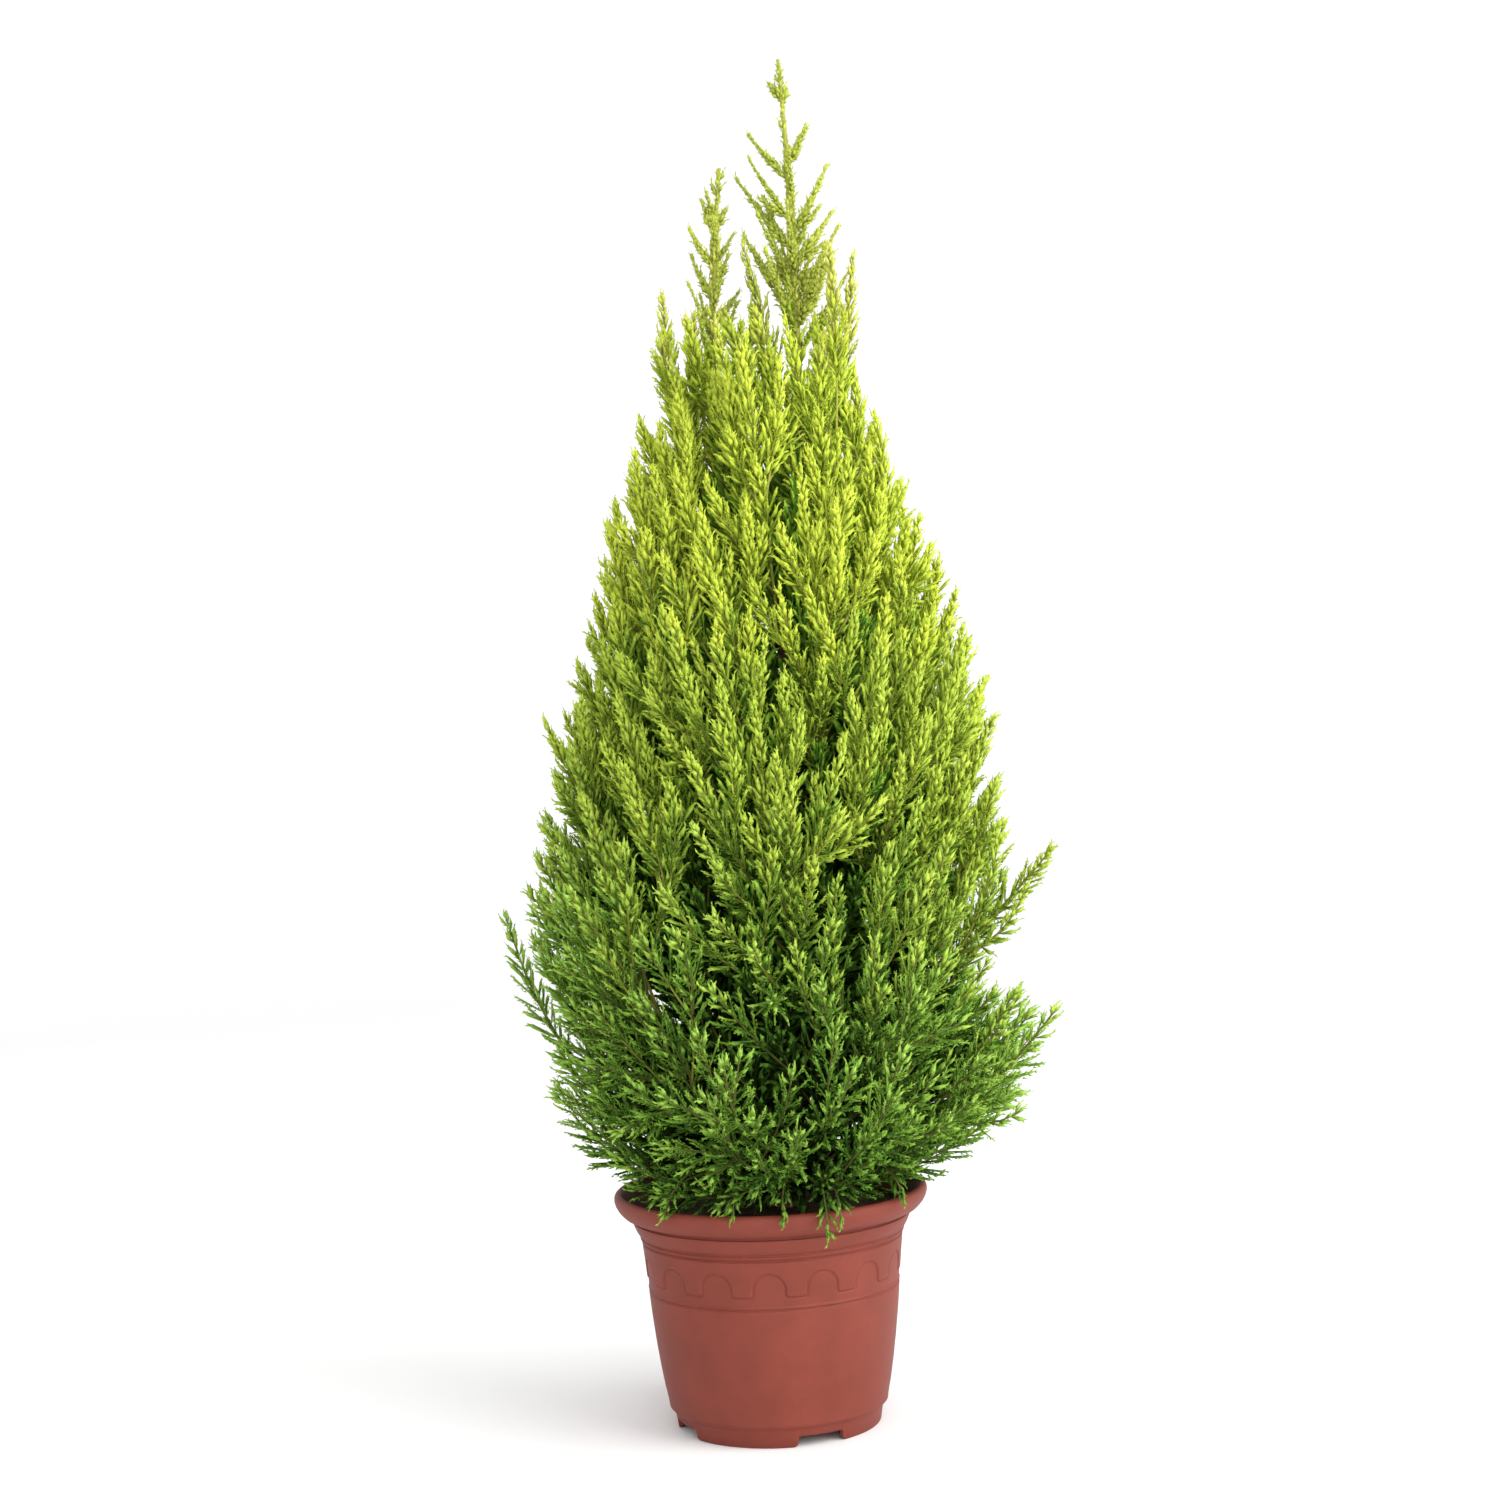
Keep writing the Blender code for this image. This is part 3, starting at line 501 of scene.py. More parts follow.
def leftAndRight(table, height):
    return [np.interp(height, table[:, 0], table[:, column]) for column in (1, 2)]


def crownSection(height):  # the crown's middle and half its width, at one height or at many
    left, right = leftAndRight(crownShape["outline"], height)
    return (left + right) / 2, (right - left) / 2


def crownPoint(azimuth, height, inward=1.0, rise=0.0):
    middle, half = crownSection(height)
    return Vector((middle + half * inward * math.cos(azimuth),
                   half * inward * crownShape["depth"] * math.sin(azimuth), max(height, rise)))


def crownReach(points):  # 0 on the crown's middle line, 1 on its outline
    middle, half = crownSection(points[:, 2])
    deep = points[:, 1] / (half * crownShape["depth"])
    return np.sqrt(((points[:, 0] - middle) / half) ** 2 + deep ** 2)


def bent(start, middle, end, steps=8):
    return [start.lerp(middle, k / steps).lerp(middle.lerp(end, k / steps), k / steps)
            for k in range(steps + 1)]


def lengthsAlong(points):
    return np.concatenate([[0], np.cumsum(np.linalg.norm(np.diff(points, axis=0), axis=1))])


def placeAt(points, lengths, at):
    return Vector([np.interp(at, lengths, points[:, axis]) for axis in range(3)])


def resampled(line, count):
    points = np.array(line)
    lengths = lengthsAlong(points)
    return [placeAt(points, lengths, at) for at in np.linspace(0, lengths[-1], count)]


def along(line, share):  # a place on a line, and the way the line runs there
    at = share * (len(line) - 1)
    index = min(int(at), len(line) - 2)
    run = (line[index + 1] - line[index]).normalized()
    return line[index].lerp(line[index + 1], at - index), run


def turned(run, angle):  # a direction square to another, turned round it
    side = run.orthogonal().normalized()
    side.rotate(Matrix.Rotation(angle, 3, run))
    return side


def leaning(run, side, degrees):  # a direction that leans from one way towards another
    lean = math.radians(degrees)
    return run * math.cos(lean) + side * math.sin(lean)


def distances(places, spot):
    return np.linalg.norm(np.array(places) - spot, axis=1)


def layOut(mass):  # the lines of its bough and its stem
    mass.boughLine = None
    if mass.start is None:
        head = trunkShape["head"]
        heading = (head - trunkPlace(head.z - leaders["runUp"])).normalized()
        mass.endRadius = trunkShape["headRadius"] * leaders["taper"]
    else:
        length = (mass.end - mass.start).length
        middle = mass.start + mass.way * massLayout["boughBend"] * length
        mass.boughLine = bent(mass.start, middle, mass.end)
        heading = (mass.boughLine[-1] - mass.boughLine[-2]).normalized()
        mass.endRadius = mass.radius * massLayout["boughTaper"]
    mass.stemLength = (mass.tip - mass.end).length
    middle = mass.end + heading * massLayout["stemBend"] * mass.stemLength + mass.bow
    mass.stemLine = bent(mass.end, middle, mass.tip)


def layOutMass(number):
    layout = massLayout
    share = number / (layout["count"] - 1)
    azimuth = layout["firstAzimuth"] + number * goldenAngle
    rise = share ** layout["tipEase"]
    tip = crownPoint(azimuth, between(layout["lowestTip"], layout["highestTip"], rise))
    footHeight = tip.z - between(*layout["height"], share)
    start = trunkPlace(max(layout["lowestBough"] + layout["boughStep"] * (number % 3),
                           footHeight - between(*layout["boughRise"], share)))
    footHeight = max(footHeight, start.z + layout["leastRise"])
    end = trunkPlace(footHeight).lerp(crownPoint(azimuth, footHeight), layout["footShare"])
    out = Vector((end.x - start.x, end.y - start.y, 0.0))
    climb = layout["climb"] * (end.z - start.z) / out.length
    return Grown(name=None, share=share, start=start, end=end, tip=tip, spire=None, bow=Vector(),
                 way=(out.normalized() + Vector((0, 0, climb))).normalized(),
                 radius=between(*layout["boughRadius"], share),
                 lift=between(*layout["lift"], share ** layout["liftEase"]))


def layOutCrown():
    masses = [layOutMass(number) for number in range(massLayout["count"])]
    for tip in massLayout["furthestTips"]:
        min(masses, key=lambda mass: (mass.tip - tip).length).tip = tip
    for zone, top in massLayout["zones"]:
        members = [mass for mass in masses if mass.tip.z <= top and not mass.name]
        for number, mass in enumerate(members):
            mass.name = f"{zone}_{number + 1}"
    masses.append(Grown(share=1.0, start=trunkPlace(leaders["sideLeaves"]), **leaders["side"]))
    masses.append(Grown(share=1.0, start=None, bow=Vector(), **leaders["main"]))
    for number, mass in enumerate(masses):
        mass.number = number
        layOut(mass)
    return masses


masses = layOutCrown()
for mass in masses:
    assert "foliage_" + mass.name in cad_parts, mass.name
stemStarts = np.array([p for mass in masses for p in mass.stemLine[:-1]])
stemRuns = np.array([p for mass in masses for p in mass.stemLine[1:]]) - stemStarts
stemOwner = np.repeat(np.arange(len(masses)), massLayout["segments"])
print("crown laid out:", len(masses), "masses")


def stemDistances(points):  # from each point to each piece of every stem
    offset = points[:, None] - stemStarts
    share = np.clip((offset * stemRuns).sum(-1) / (stemRuns ** 2).sum(-1), 0, 1)
    return np.linalg.norm(offset - share[..., None] * stemRuns, axis=-1)


# bark-covered limbs: the trunk with its flare, and the boughs

barkShape = dict(
    trunkRings=((0.1515, 0.19, 30), (0.192, 0.700, 120)), trunkSides=22, boughRings=26,
    boughSides=12, collar=0.55, collarRings=2.5,
    ridge=0.075, ridgeTurns=7.0, ridgeLength=60.0, knot=0.05, knotLength=70, knotLayer=2.0,
    seedStep=3.7,
    look=dict(plain=(112, 78, 56), roughness=0.85, specular=0.25, scale=1.0, detail=6.0,
              stretch=(260.0, 260.0, 45.0), spread=(0.30, 0.72), relief=(0.6, 0.0008),
              tones=((70, 46, 34), (150, 108, 78))))


def barkGrowth(place, angle, relief, seed):  # long ridges round the limb, and knots along it
    shape = barkShape
    turns, rise = shape["ridgeTurns"], place.z * shape["ridgeLength"] + seed
    around = Vector((math.cos(angle) * turns / 3, math.sin(angle) * turns / 3, rise))
    knots = noise.noise((place.z * shape["knotLength"] + seed, angle, shape["knotLayer"]))
    return 1 + relief * noise.noise(around) + shape["knot"] * knots


def tube(points, radii, sides, vertices, faces, relief=0.0, seed=0.0):  # a closed limb along points
    first, count, normal = len(vertices), len(points), None
    for index, (place, radius) in enumerate(zip(points, radii)):
        before, after = points[max(0, index - 1)], points[min(count - 1, index + 1)]
        run = (after - before).normalized()
        normal = run.orthogonal() if normal is None else normal - run * normal.dot(run)
        normal.normalize()
        side = run.cross(normal)
        for k in range(sides):
            angle = fullTurn * k / sides
            grown = radius * (barkGrowth(place, angle, relief, seed) if relief else 1.0)
            vertices.append(place + (normal * math.cos(angle) + side * math.sin(angle)) * grown)
    faces += ringQuads(first, count, sides)
    faces.append(tuple(first + k for k in reversed(range(sides))))
    faces.append(tuple(first + (count - 1) * sides + k for k in range(sides)))


def makeLimbs():
    shape, vertices, faces = barkShape, [], []
    heights = np.concatenate([np.linspace(*rings) for rings in shape["trunkRings"]])
    tube([trunkPlace(h) for h in heights], [trunkRadius(h) for h in heights], shape["trunkSides"],
         vertices, faces, shape["ridge"])
    for number, mass in enumerate(masses):
        if mass.boughLine:
            line = resampled([mass.start] + mass.boughLine[1:], shape["boughRings"])
            radii = [between(mass.radius, mass.endRadius, k / (len(line) - 1))
                     * (1 + shape["collar"] * math.exp(-k / shape["collarRings"]))
                     for k in range(len(line))]
            tube(line, radii, shape["boughSides"], vertices, faces, shape["ridge"],
                 shape["seedStep"] * number)
    limbs = meshObject("barkLimbs", vertices, faces, [mottledMaterial("bark", shape["look"])])
    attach(limbs, "root")
    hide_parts("trunk", *[f"bough_{mass.name}" for mass in masses if mass.boughLine])


makeLimbs()
print("trunk and boughs made")

# sprays: a small shoot that pointed scales stand out of, or one with stubby side shoots

sprayShape = dict(
    seed=5, variants=5, cord=0.00132, tipFrom=0.6, bow=0.17, featheredBow=0.26, sideBow=0.08,
    rings={1: ((0.58, 1.05),), 2: ((0.12, 0.86), (0.78, 0.98))},  # share of the length, stoutness
    scales=(0.06, 0.74), scaleJitter=0.03, scaleTurn=0.4, scaleSizes=(0.85, 1.15),
    scaleBase=0.0027, scaleReach=0.0040, scaleOut=0.0016, scaleFlare=1.1,
    stubs=(0.10, 0.78), stubJitter=0.02, stubTurn=math.radians(165), stubWander=0.5,
    stubReach=(0.0062, 0.0036), stubSizes=(0.75, 1.2), stubLean=(44, 34), leanWander=6,
    stubRadius=0.00085, stubFoot=0.3, stubRise=0.25, stubTips=0.5, turns=(0, 6),
    scaleAhead=0.05, stubAhead=0.03)
sprayKinds = dict(  # length, stubs or scales along it, rings along the cord, how stout
    feathered=(0.0300, 11, 2, 0.95), long=(0.0215, 6, 2, 1.12), middle=(0.0150, 4, 1, 1.20),
    short=(0.0100, 3, 1, 1.25), broad=(0.0240, 3, 2, 1.75), stout=(0.0095, 3, 1, 1.45))


def triangleRound(place, way, radius, width=1.0, turn=0):
    side = way.orthogonal().normalized()
    other = way.cross(side)
    angles = [fullTurn * k / 3 + turn for k in range(3)]
    return [place + (side * math.cos(angle) + other * math.sin(angle)) * width * radius
            for angle in angles]


def sprayMesh(name, kind, rng):
    shape = sprayShape
    length, count, ringCount, stout = sprayKinds[kind]
    hasStubs = kind == "feathered"
    up, rings, radius = Vector((0, 0, 1)), shape["rings"][ringCount], shape["cord"] * stout
    bend = Vector((shape["featheredBow"] if hasStubs else shape["bow"],
                   wobble(rng, shape["sideBow"]), 0))
    turn = rng.uniform(*shape["turns"])

    def at(share):
        return up * length * share + bend * length * share * share

    # the cord, three-sided and pointed; tips tells the faces that take the next lighter green
    vertices, faces = [at(0)], [(0, 2, 1), (0, 3, 2), (0, 1, 3)]
    for row, (share, width) in enumerate(rings):
        vertices += triangleRound(at(share), up, radius, width, row)
    vertices.append(at(1.0))
    if len(rings) == 2:
        for k, j in ((0, 1), (1, 2), (2, 0)):
            faces += [(1 + k, 1 + j, 4 + j), (1 + k, 4 + j, 4 + k)]
    last = len(vertices) - 1
    faces += [(last - 3 + k, last - 3 + (k + 1) % 3, last) for k in range(3)]
    tips = [0] * (len(faces) - 3) + [1, 1, 1]
    scales = 0 if hasStubs else count
    for number in range(scales):  # in crossed pairs, standing out like the teeth of a comb
        share = shape["scales"][0] + shape["scales"][1] * number / max(1, scales - 1)
        share += wobble(rng, shape["scaleJitter"])
        place, run = at(share), (at(share + shape["scaleAhead"]) - at(share)).normalized()
        crossed = turn + number * math.pi + (number // 2) * math.pi / 2
        out = turned(run, crossed + wobble(rng, shape["scaleTurn"]))
        grown = rng.uniform(*shape["scaleSizes"]) * (radius / shape["cord"])
        first = len(vertices)
        aside = out * shape["scaleOut"] * grown * shape["scaleFlare"]
        vertices += [place, place + run * shape["scaleBase"] * grown,
                     place + run * shape["scaleReach"] * grown + aside]
        faces.append((first, first + 1, first + 2))
        tips.append(int(share >= shape["tipFrom"]))
    turn = rng.uniform(*shape["turns"])
    for number in range(count if hasStubs else 0):  # side shoots, left and right by turns
        share = shape["stubs"][0] + shape["stubs"][1] * number / (count - 1)
        share += wobble(rng, shape["stubJitter"])
        place, run = at(share), (at(share + shape["stubAhead"]) - at(share)).normalized()
        wander = wobble(rng, shape["stubWander"])
        out = turned(run, turn + number * shape["stubTurn"] + wander)
        lean = between(*shape["stubLean"], share)
        way = leaning(run, out, lean + wobble(rng, shape["leanWander"]))
        reach = between(*shape["stubReach"], share) * rng.uniform(*shape["stubSizes"])
        first = len(vertices)
        vertices += triangleRound(place + way * reach * shape["stubFoot"], way, shape["stubRadius"])
        vertices.append(place + (way + run * shape["stubRise"]).normalized() * reach)
        faces += [(first + k, first + (k + 1) % 3, first + 3) for k in range(3)]
        faces.append((first + 2, first + 1, first))
        tips += [int(share > shape["stubTips"])] * 3 + [0]
    mesh = smoothMesh(name, vertices, faces)
    mesh.attributes.new("tip", "INT", "FACE").data.foreach_set("value", tips)
    return mesh


def makeSprays():
    rng = random.Random(sprayShape["seed"])
    folder, counts = bpy.data.collections.new("sprays"), []
    for index, kind in enumerate(sprayKinds):
        for variant in range(sprayShape["variants"]):
            mesh = sprayMesh(f"spray_{index}_{variant}_{kind}", kind, rng)
            counts.append(len(mesh.polygons))
            folder.objects.link(bpy.data.objects.new(mesh.name, mesh))
    return folder, counts


sprays, sprayFaces = makeSprays()
print("sprays made, faces each:", sprayFaces)

# how each mass branches: twigs round its stem by the golden angle, and side twigs on these,
# none of them crowding another's tip

branching = dict(
    seed=41, rounds=60, rung=0.618034, rungShift=0.13, tipGap=0.0290, lowest=0.02, highest=0.92,
    forward=(0.55, 1.25), outward=(0.95, 0.40), reach=(1.00, 0.50), reachSpread=(0.9, 1.1),
    rise=(0.10, 0.75, 1.25), lift=0.6, wander=0.10,
    scales=(1.0, 0.92, 0.84, 0.76, 0.68, 0.60, 0.52, 0.44, 0.36), shortest=0.045,
    sidePlaces=(0.18, 0.36, 0.52), sideSpread=(0.45, 0.85), sideReach=(0.8, 1.1),
    overlap=0.022, spireSpread=0.0055, tipRoom=0.005, sideRoom=0.010, limbRoom=0.010,
    leafRoom=0.002, leastOut=0.01, watched=(3, 6, 8))  # the places of a line that are tested
filling = dict(
    seed=77, tries=30000, bodyGap=0.0120, lowest=0.171, highest=0.775, heightJitter=0.006,
    length=0.088, lengthSpread=(0.75, 1.2), bend=0.55, edge=0.003, leastInward=0.2, depthEase=1.3,
    layers=(  # sort, how many, from and to how far inside the outline, gap between tips, highest
        ("inner", 140, 0.075, 0.125, 0.030, 0.68), ("inner", 230, 0.042, 0.080, 0.027, 0.70),
        ("outer", 130, 0.026, 0.046, 0.026, 0.74), ("outer", 430, 0.008, 0.032, 0.0235, 0.775)),
    nearest=0.040, furthest=0.135, tooFar=0.070, looseGap=1.22, heights=60, watched=(3, 5, 7),
    stemWood=(16, 14), boughWood=(8, 3),  # into how many places, and which of them twigs grow from
    flanks=np.array((  # in mm: height, how much further inside tips stay on the left and the right
        (170, 0, -3), (220, 2, -3), (300, 5, 0), (380, 2, -3), (440, 2, -6), (510, 3, -6),
        (560, 6, -6), (630, -4, -4), (700, -3, -2), (780, 0, 0))) / 1000,
    spread=np.array((  # height, how far a plume's tip points outwards there
        (0.165, 2.60), (0.20, 1.60), (0.27, 1.00), (0.36, 0.66), (0.50, 0.36), (0.70, 0.20),
        (0.90, 0.12))),
    sway=0.22, wander=0.10,
    placed=(  # how wide they are dressed, then root, bend and tip of each in mm
        (0.85, (  # beside the main leader
            ((30, -10, 690), (23.5, -14, 745), (8.5, -12, 822)),
            ((22, 4, 690), (18, -4, 735), (12, -6, 780)),
            ((70, -4, 690), (79, -6, 760), (84.5, -6, 812)))),
        (0.65, (  # on the flanks
            ((130, -50, 330), (164, -80, 335), (179, -90, 376)),
            ((125, -50, 330), (150, -70, 350), (164, -75, 408)),
            ((120, -30, 360), (150, -35, 380), (164, -35, 440)),
            ((125, -50, 240), (150, -70, 270), (169, -85, 305)),
            ((120, -40, 215), (150, -70, 210), (170, -80, 224)),
            ((-120, 60, 290), (-152, 80, 300), (-166, 88, 338)),
            ((-120, 40, 310), (-145, 55, 330), (-157, 60, 378)),
            ((-115, 20, 330), (-135, 30, 370), (-148, 30, 420)))),
        (0.50, (  # over the pot's lip
            ((30, -78, 180), (35.5, -107.5, 182), (37.5, -114, 153)),
            ((44, -76, 180), (45, -105.5, 182), (46.2, -112.5, 162)),
            ((12, -66, 186), (-12, -90, 184), (-36, -104, 172)),
            ((-40, -52, 188), (-60, -66, 186), (-79, -80, 173)),
            ((-60, 50, 186), (-80, 64, 184), (-94, 72, 171)),
            ((30, 70, 186), (42, 88, 184), (50, 105, 170)),
            ((-20, -70, 186), (-24, -98, 184), (-26, -111.5, 167)),
            ((-52, -62, 188), (-66, -83, 186), (-72, -90.5, 166)),
            ((4, -74, 186), (6, -101, 184), (8, -113.5, 164)),
            ((70, -50, 190), (84, -66, 187), (90, -73, 168)),
            ((70, 40, 190), (88, 52, 187), (99, 60, 168)),
            ((-10, 76, 190), (-14, 100, 187), (-16, 113, 168))))))
plumes = dict(  # values for the tight upper plumes, then for the loose ones low down
    sprayStep=(0.00165, 0.00340), sprayReach=(0.0270, 0.0370), leanBase=(43, 52), leanTip=(23, 34),
    taper=(0.72, 0.62), feathered=(0.55, 1.00), loosest=0.27, looseBelow=0.50)

twigs, tips = [], []  # all that have grown so far, and where they end


def looseAt(height):  # 0 in the upper crown, 1 low down
    low, high = plumes["loosest"], plumes["looseBelow"]
    return clamp((high - height) / (high - low))


def flankRoom(heights, asides):
    left, right = leftAndRight(filling["flanks"], heights)
    return np.where(asides < 0, left, right) * np.clip(np.abs(asides), 0, 1) ** 2


def crownRoom(points):  # how far inside the crown's outline, in metres
    middle, half = crownSection(points[:, 2])
    aside = (points[:, 0] - middle) / half
    return half * (1 - crownReach(points)) - flankRoom(points[:, 2], aside)


def clearOf(places, spot, gap):
    return not (distances(places, spot) < gap).any()


def keepsToSpace(points, mass):
    shape, points = branching, np.array(points)
    room, heights = crownRoom(points), points[:, 2]
    if room[-1] < shape["tipRoom"] or (room[:-1] < shape["sideRoom"]).any():
        return False
    lowest = crownShape["lowestLeaf"] + shape["leafRoom"]
    if (heights < lowest).any() or (heights > filling["highest"]).any():
        return False
    near = stemDistances(points)
    own = near[:, stemOwner == mass.number].min(1)
    if mass.spire and (own > mass.spire * (mass.tip.z - heights) + shape["spireSpread"]).any():
        return False
    if (near[:, stemOwner != mass.number].min(1) < own - shape["overlap"]).any():
        return False
    offset = (points - np.array([trunkBeside(z) for z in heights]))[:, :2]
    return bool(mass.spire) or bool((np.linalg.norm(offset, axis=1) > shape["limbRoom"]).all())


def threeWay(low, middle, high, share):
    return between(low, middle, share * 2) if share < 0.5 else between(middle, high, share * 2 - 1)


def anyWay(rng):
    return Vector((rng.uniform(-1, 1), rng.uniform(-1, 1), rng.uniform(-1, 1)))


def keepTwig(line, mass, sort, gap, share=1.0):  # only where its tip is clear of the others
    tip = np.array(line[-1])
    if tips and not clearOf(tips, tip, gap):
        return False
    tips.append(tip)
    twigs.append(Grown(line=line, mass=mass, sort=sort, share=share))
    return True


def fittingTwig(root, way, reach, mass, rng):  # the longest of its sizes that keeps to the space
    rise = threeWay(*branching["rise"], mass.share)
    end = (way + Vector((0, 0, rise)) + anyWay(rng) * branching["wander"]).normalized()
    for scale in branching["scales"]:
        size = reach * scale
        if size < branching["shortest"]:
            return None
        line = bent(root, root + way * size * 0.5, root + (way + end) * size * 0.5)
        if keepsToSpace([line[k] for k in branching["watched"]], mass):
            return line
    return None


def growTwigs():
    shape = branching
    rngs = [random.Random(shape["seed"] + number) for number in range(len(masses))]
    starts = [rng.uniform(0, fullTurn) for rng in rngs]
    for k in range(shape["rounds"]):
        for mass, rng, start in zip(masses, rngs, starts):
            rung = (k * shape["rung"] + shape["rungShift"] * mass.number) % 1.0
            share = between(shape["lowest"], shape["highest"], rung)
            root, run = along(mass.stemLine, share)
            outward = (root - trunkBeside(root.z)) * Vector((1, 1, 0))
            push = 0.0 if mass.spire else between(*shape["outward"], mass.share)
            outward *= push / max(outward.length, shape["leastOut"])
            side = turned(run, start + k * goldenAngle)
            way = run * between(*shape["forward"], mass.share) + side + outward
            way = (way + Vector((0, 0, mass.lift * shape["lift"]))).normalized()
            reach = mass.stemLength * between(*shape["reach"], share)
            reach *= rng.uniform(*shape["reachSpread"])
            line = fittingTwig(root, way, reach, mass, rng)
            if line is None or not keepTwig(line, mass, "first", shape["tipGap"]):
                continue
            for place in shape["sidePlaces"]:
                fork, run = along(line, place)
                side = turned(run, rng.uniform(0, fullTurn))
                way = (run + side * rng.uniform(*shape["sideSpread"])).normalized()
                length = reach * (1 - place) * rng.uniform(*shape["sideReach"])
                part = fittingTwig(fork, way, length, mass, rng)
                if part:
                    keepTwig(part, mass, "side", shape["tipGap"])


def heading(place, rng):  # which way a plume's tip points there: out low down, up further up
    centre = trunkBeside(place.z)
    out = Vector((place.x - centre.x, place.y - centre.y, 0)).normalized()
    spread = float(np.interp(place.z, *filling["spread"].T))
    way = out * spread + Vector((0, 0, 1))
    way += out.orthogonal() * wobble(rng, filling["sway"])
    return (way + anyWay(rng) * filling["wander"]).normalized()


def fillShell():  # finer twigs, from the nearest wood to parts of the shell that are still bare
    shape, rng = filling, random.Random(filling["seed"])
    wood, owners, bodies = [], [], []

    def takeIn(places, owner, body=()):  # wood that twigs may grow from, and twigs to keep clear of
        wood.extend(np.array(p) for p in places)
        owners.extend([owner] * len(places))
        bodies.extend(np.array(p) for p in body)

    (stemPlaces, used), (boughPlaces, bare) = shape["stemWood"], shape["boughWood"]
    for mass in masses:
        takeIn(resampled(mass.stemLine, stemPlaces)[:used], mass)
        if mass.boughLine:
            takeIn(resampled(mass.boughLine, boughPlaces)[bare:], mass)
    for twig in twigs:
        takeIn(twig.line[1:6], twig.mass, twig.line[3:])
    heights = np.linspace(shape["lowest"], shape["highest"], shape["heights"])
    widths = crownSection(heights)[1]
    made = 0
    for sort, most, shallow, deep, gap, top in shape["layers"]:
        goal = made + most
        for _ in range(shape["tries"]):
            if made >= goal:
                break
            height = rng.choices(heights, widths)[0]
            height += wobble(rng, shape["heightJitter"])
            if height > top:
                continue
            room = between(shallow, deep, rng.random() ** shape["depthEase"])
            azimuth = rng.uniform(0, fullTurn)
            room += float(flankRoom(height, math.cos(azimuth)))
            inward = 1 - room / crownSection(height)[1]
            if inward < shape["leastInward"]:
                continue
            lowest = crownShape["lowestLeaf"] + shape["edge"]
            tip = crownPoint(azimuth, height, inward, lowest)
            spot = np.array(tip)
            wide = gap * between(1.0, shape["looseGap"], looseAt(tip.z))
            if not (clearOf(tips, spot, wide) and clearOf(bodies, spot, shape["bodyGap"])):
                continue
            way = heading(tip, rng)
            wanted = np.array(tip - way * shape["length"] * rng.uniform(*shape["lengthSpread"]))
            places = np.array(wood)
            far, cost = distances(places, spot), distances(places, wanted)
            cost[(far < shape["nearest"]) | (far > shape["furthest"])] = math.inf
            best = int(np.argmin(cost))
            if cost[best] > shape["tooFar"]:
                continue
            root = Vector(places[best])
            line = bent(root, tip - way * (tip - root).length * shape["bend"], tip)
            points = np.array([line[k] for k in shape["watched"]])
            lowest = crownShape["lowestLeaf"] + branching["leafRoom"]
            if (crownRoom(points) < shape["edge"]).any() or (points[:, 2] < lowest).any():
                continue
            if keepTwig(line, owners[best], sort, gap):
                made += 1
                takeIn(line[2:6], owners[best], line[3:])
    print("finer twigs:", made)
    return np.array(wood), owners


def placeShoots(wood, owners):
    for share, lines in filling["placed"]:
        for line in lines:
            root, middle, tip = [[value / 1000 for value in place] for place in line]
            best = int(np.argmin(distances(wood, np.array(root))))
            line = bent(Vector(wood[best]), Vector(middle), Vector(tip))
            keepTwig(line, owners[best], "placed", 0.0, share)


growTwigs()
placeShoots(*fillShell())

# shoots on the twigs, in plain greens dealt out by height and by how far out a shoot stands; darker
# greens deep inside, low over the rim and on the left are painted shade, lighter ones on the right
# painted light

greens = dict(  # for each height a dark tone for the plumes deep inside, painted shade as well as their greener colour, then five from dark to light
    top=[(122, 146, 52), (150, 163, 63), (164, 174, 72), (175, 183, 79), (183, 188, 84),
         (189, 193, 90)],
    upper=[(120, 164, 50), (150, 181, 56), (166, 189, 60), (179, 197, 65), (185, 200, 68),
           (189, 203, 71)],
    middle=[(90, 134, 41), (112, 151, 48), (135, 165, 55), (155, 179, 61), (166, 187, 67),
            (174, 194, 73)],
    rising=[(66, 102, 31), (94, 131, 45), (116, 151, 52), (137, 168, 60), (151, 179, 67),
            (163, 189, 77)],
    lower=[(46, 74, 21), (76, 112, 40), (97, 137, 49), (118, 157, 58), (136, 173, 68),
           (151, 186, 81)])
zoneTops = dict(lower=0.33, rising=0.41, middle=0.55, upper=0.76, top=9.0)
shading = dict(
    heightJitter=0.025,
    left=(0.06, 0.6), right=(0.08, 0.5),  # painted light and shade: how far out, and how steeply, zones rise to lighter greens on the lit right and sink to darker ones on the shaded left
    # painted shade: the greens of shoots low over the pot's rim are darkened
    middle=2.0, outwards=2.6, outFrom=0.82, jitter=0.4, lowPaintedShade=1.4, lowFrom=0.225,
    lowOver=0.045, leader=0.9, alongTwig=1.1, end=0.7, look=(0.70, 0.04))
dressing = dict(
    bare=0.22, innerStep=0.0022, innerWidth=1.15, innerPaintedShade=0.8, widths=(0.88, 1.12), tint=0.5,
    zoneShift=0.035, stemFrom=4, stemTint=0.2, stepJitter=0.3, fewest=4, footGrow=0.6,
    footShare=0.15, taperEase=1.3, reaches=(0.66, 1.12), leanJitter=9, endBack=0.005,
    endReach=(0.0125, 0.8), long=0.0180, middle=0.0120, stout=0.0125, sizes=(0.62, 1.25),
    leaderSize=0.42, leastBend=0.05, pieceFaces=190000, seed=9)
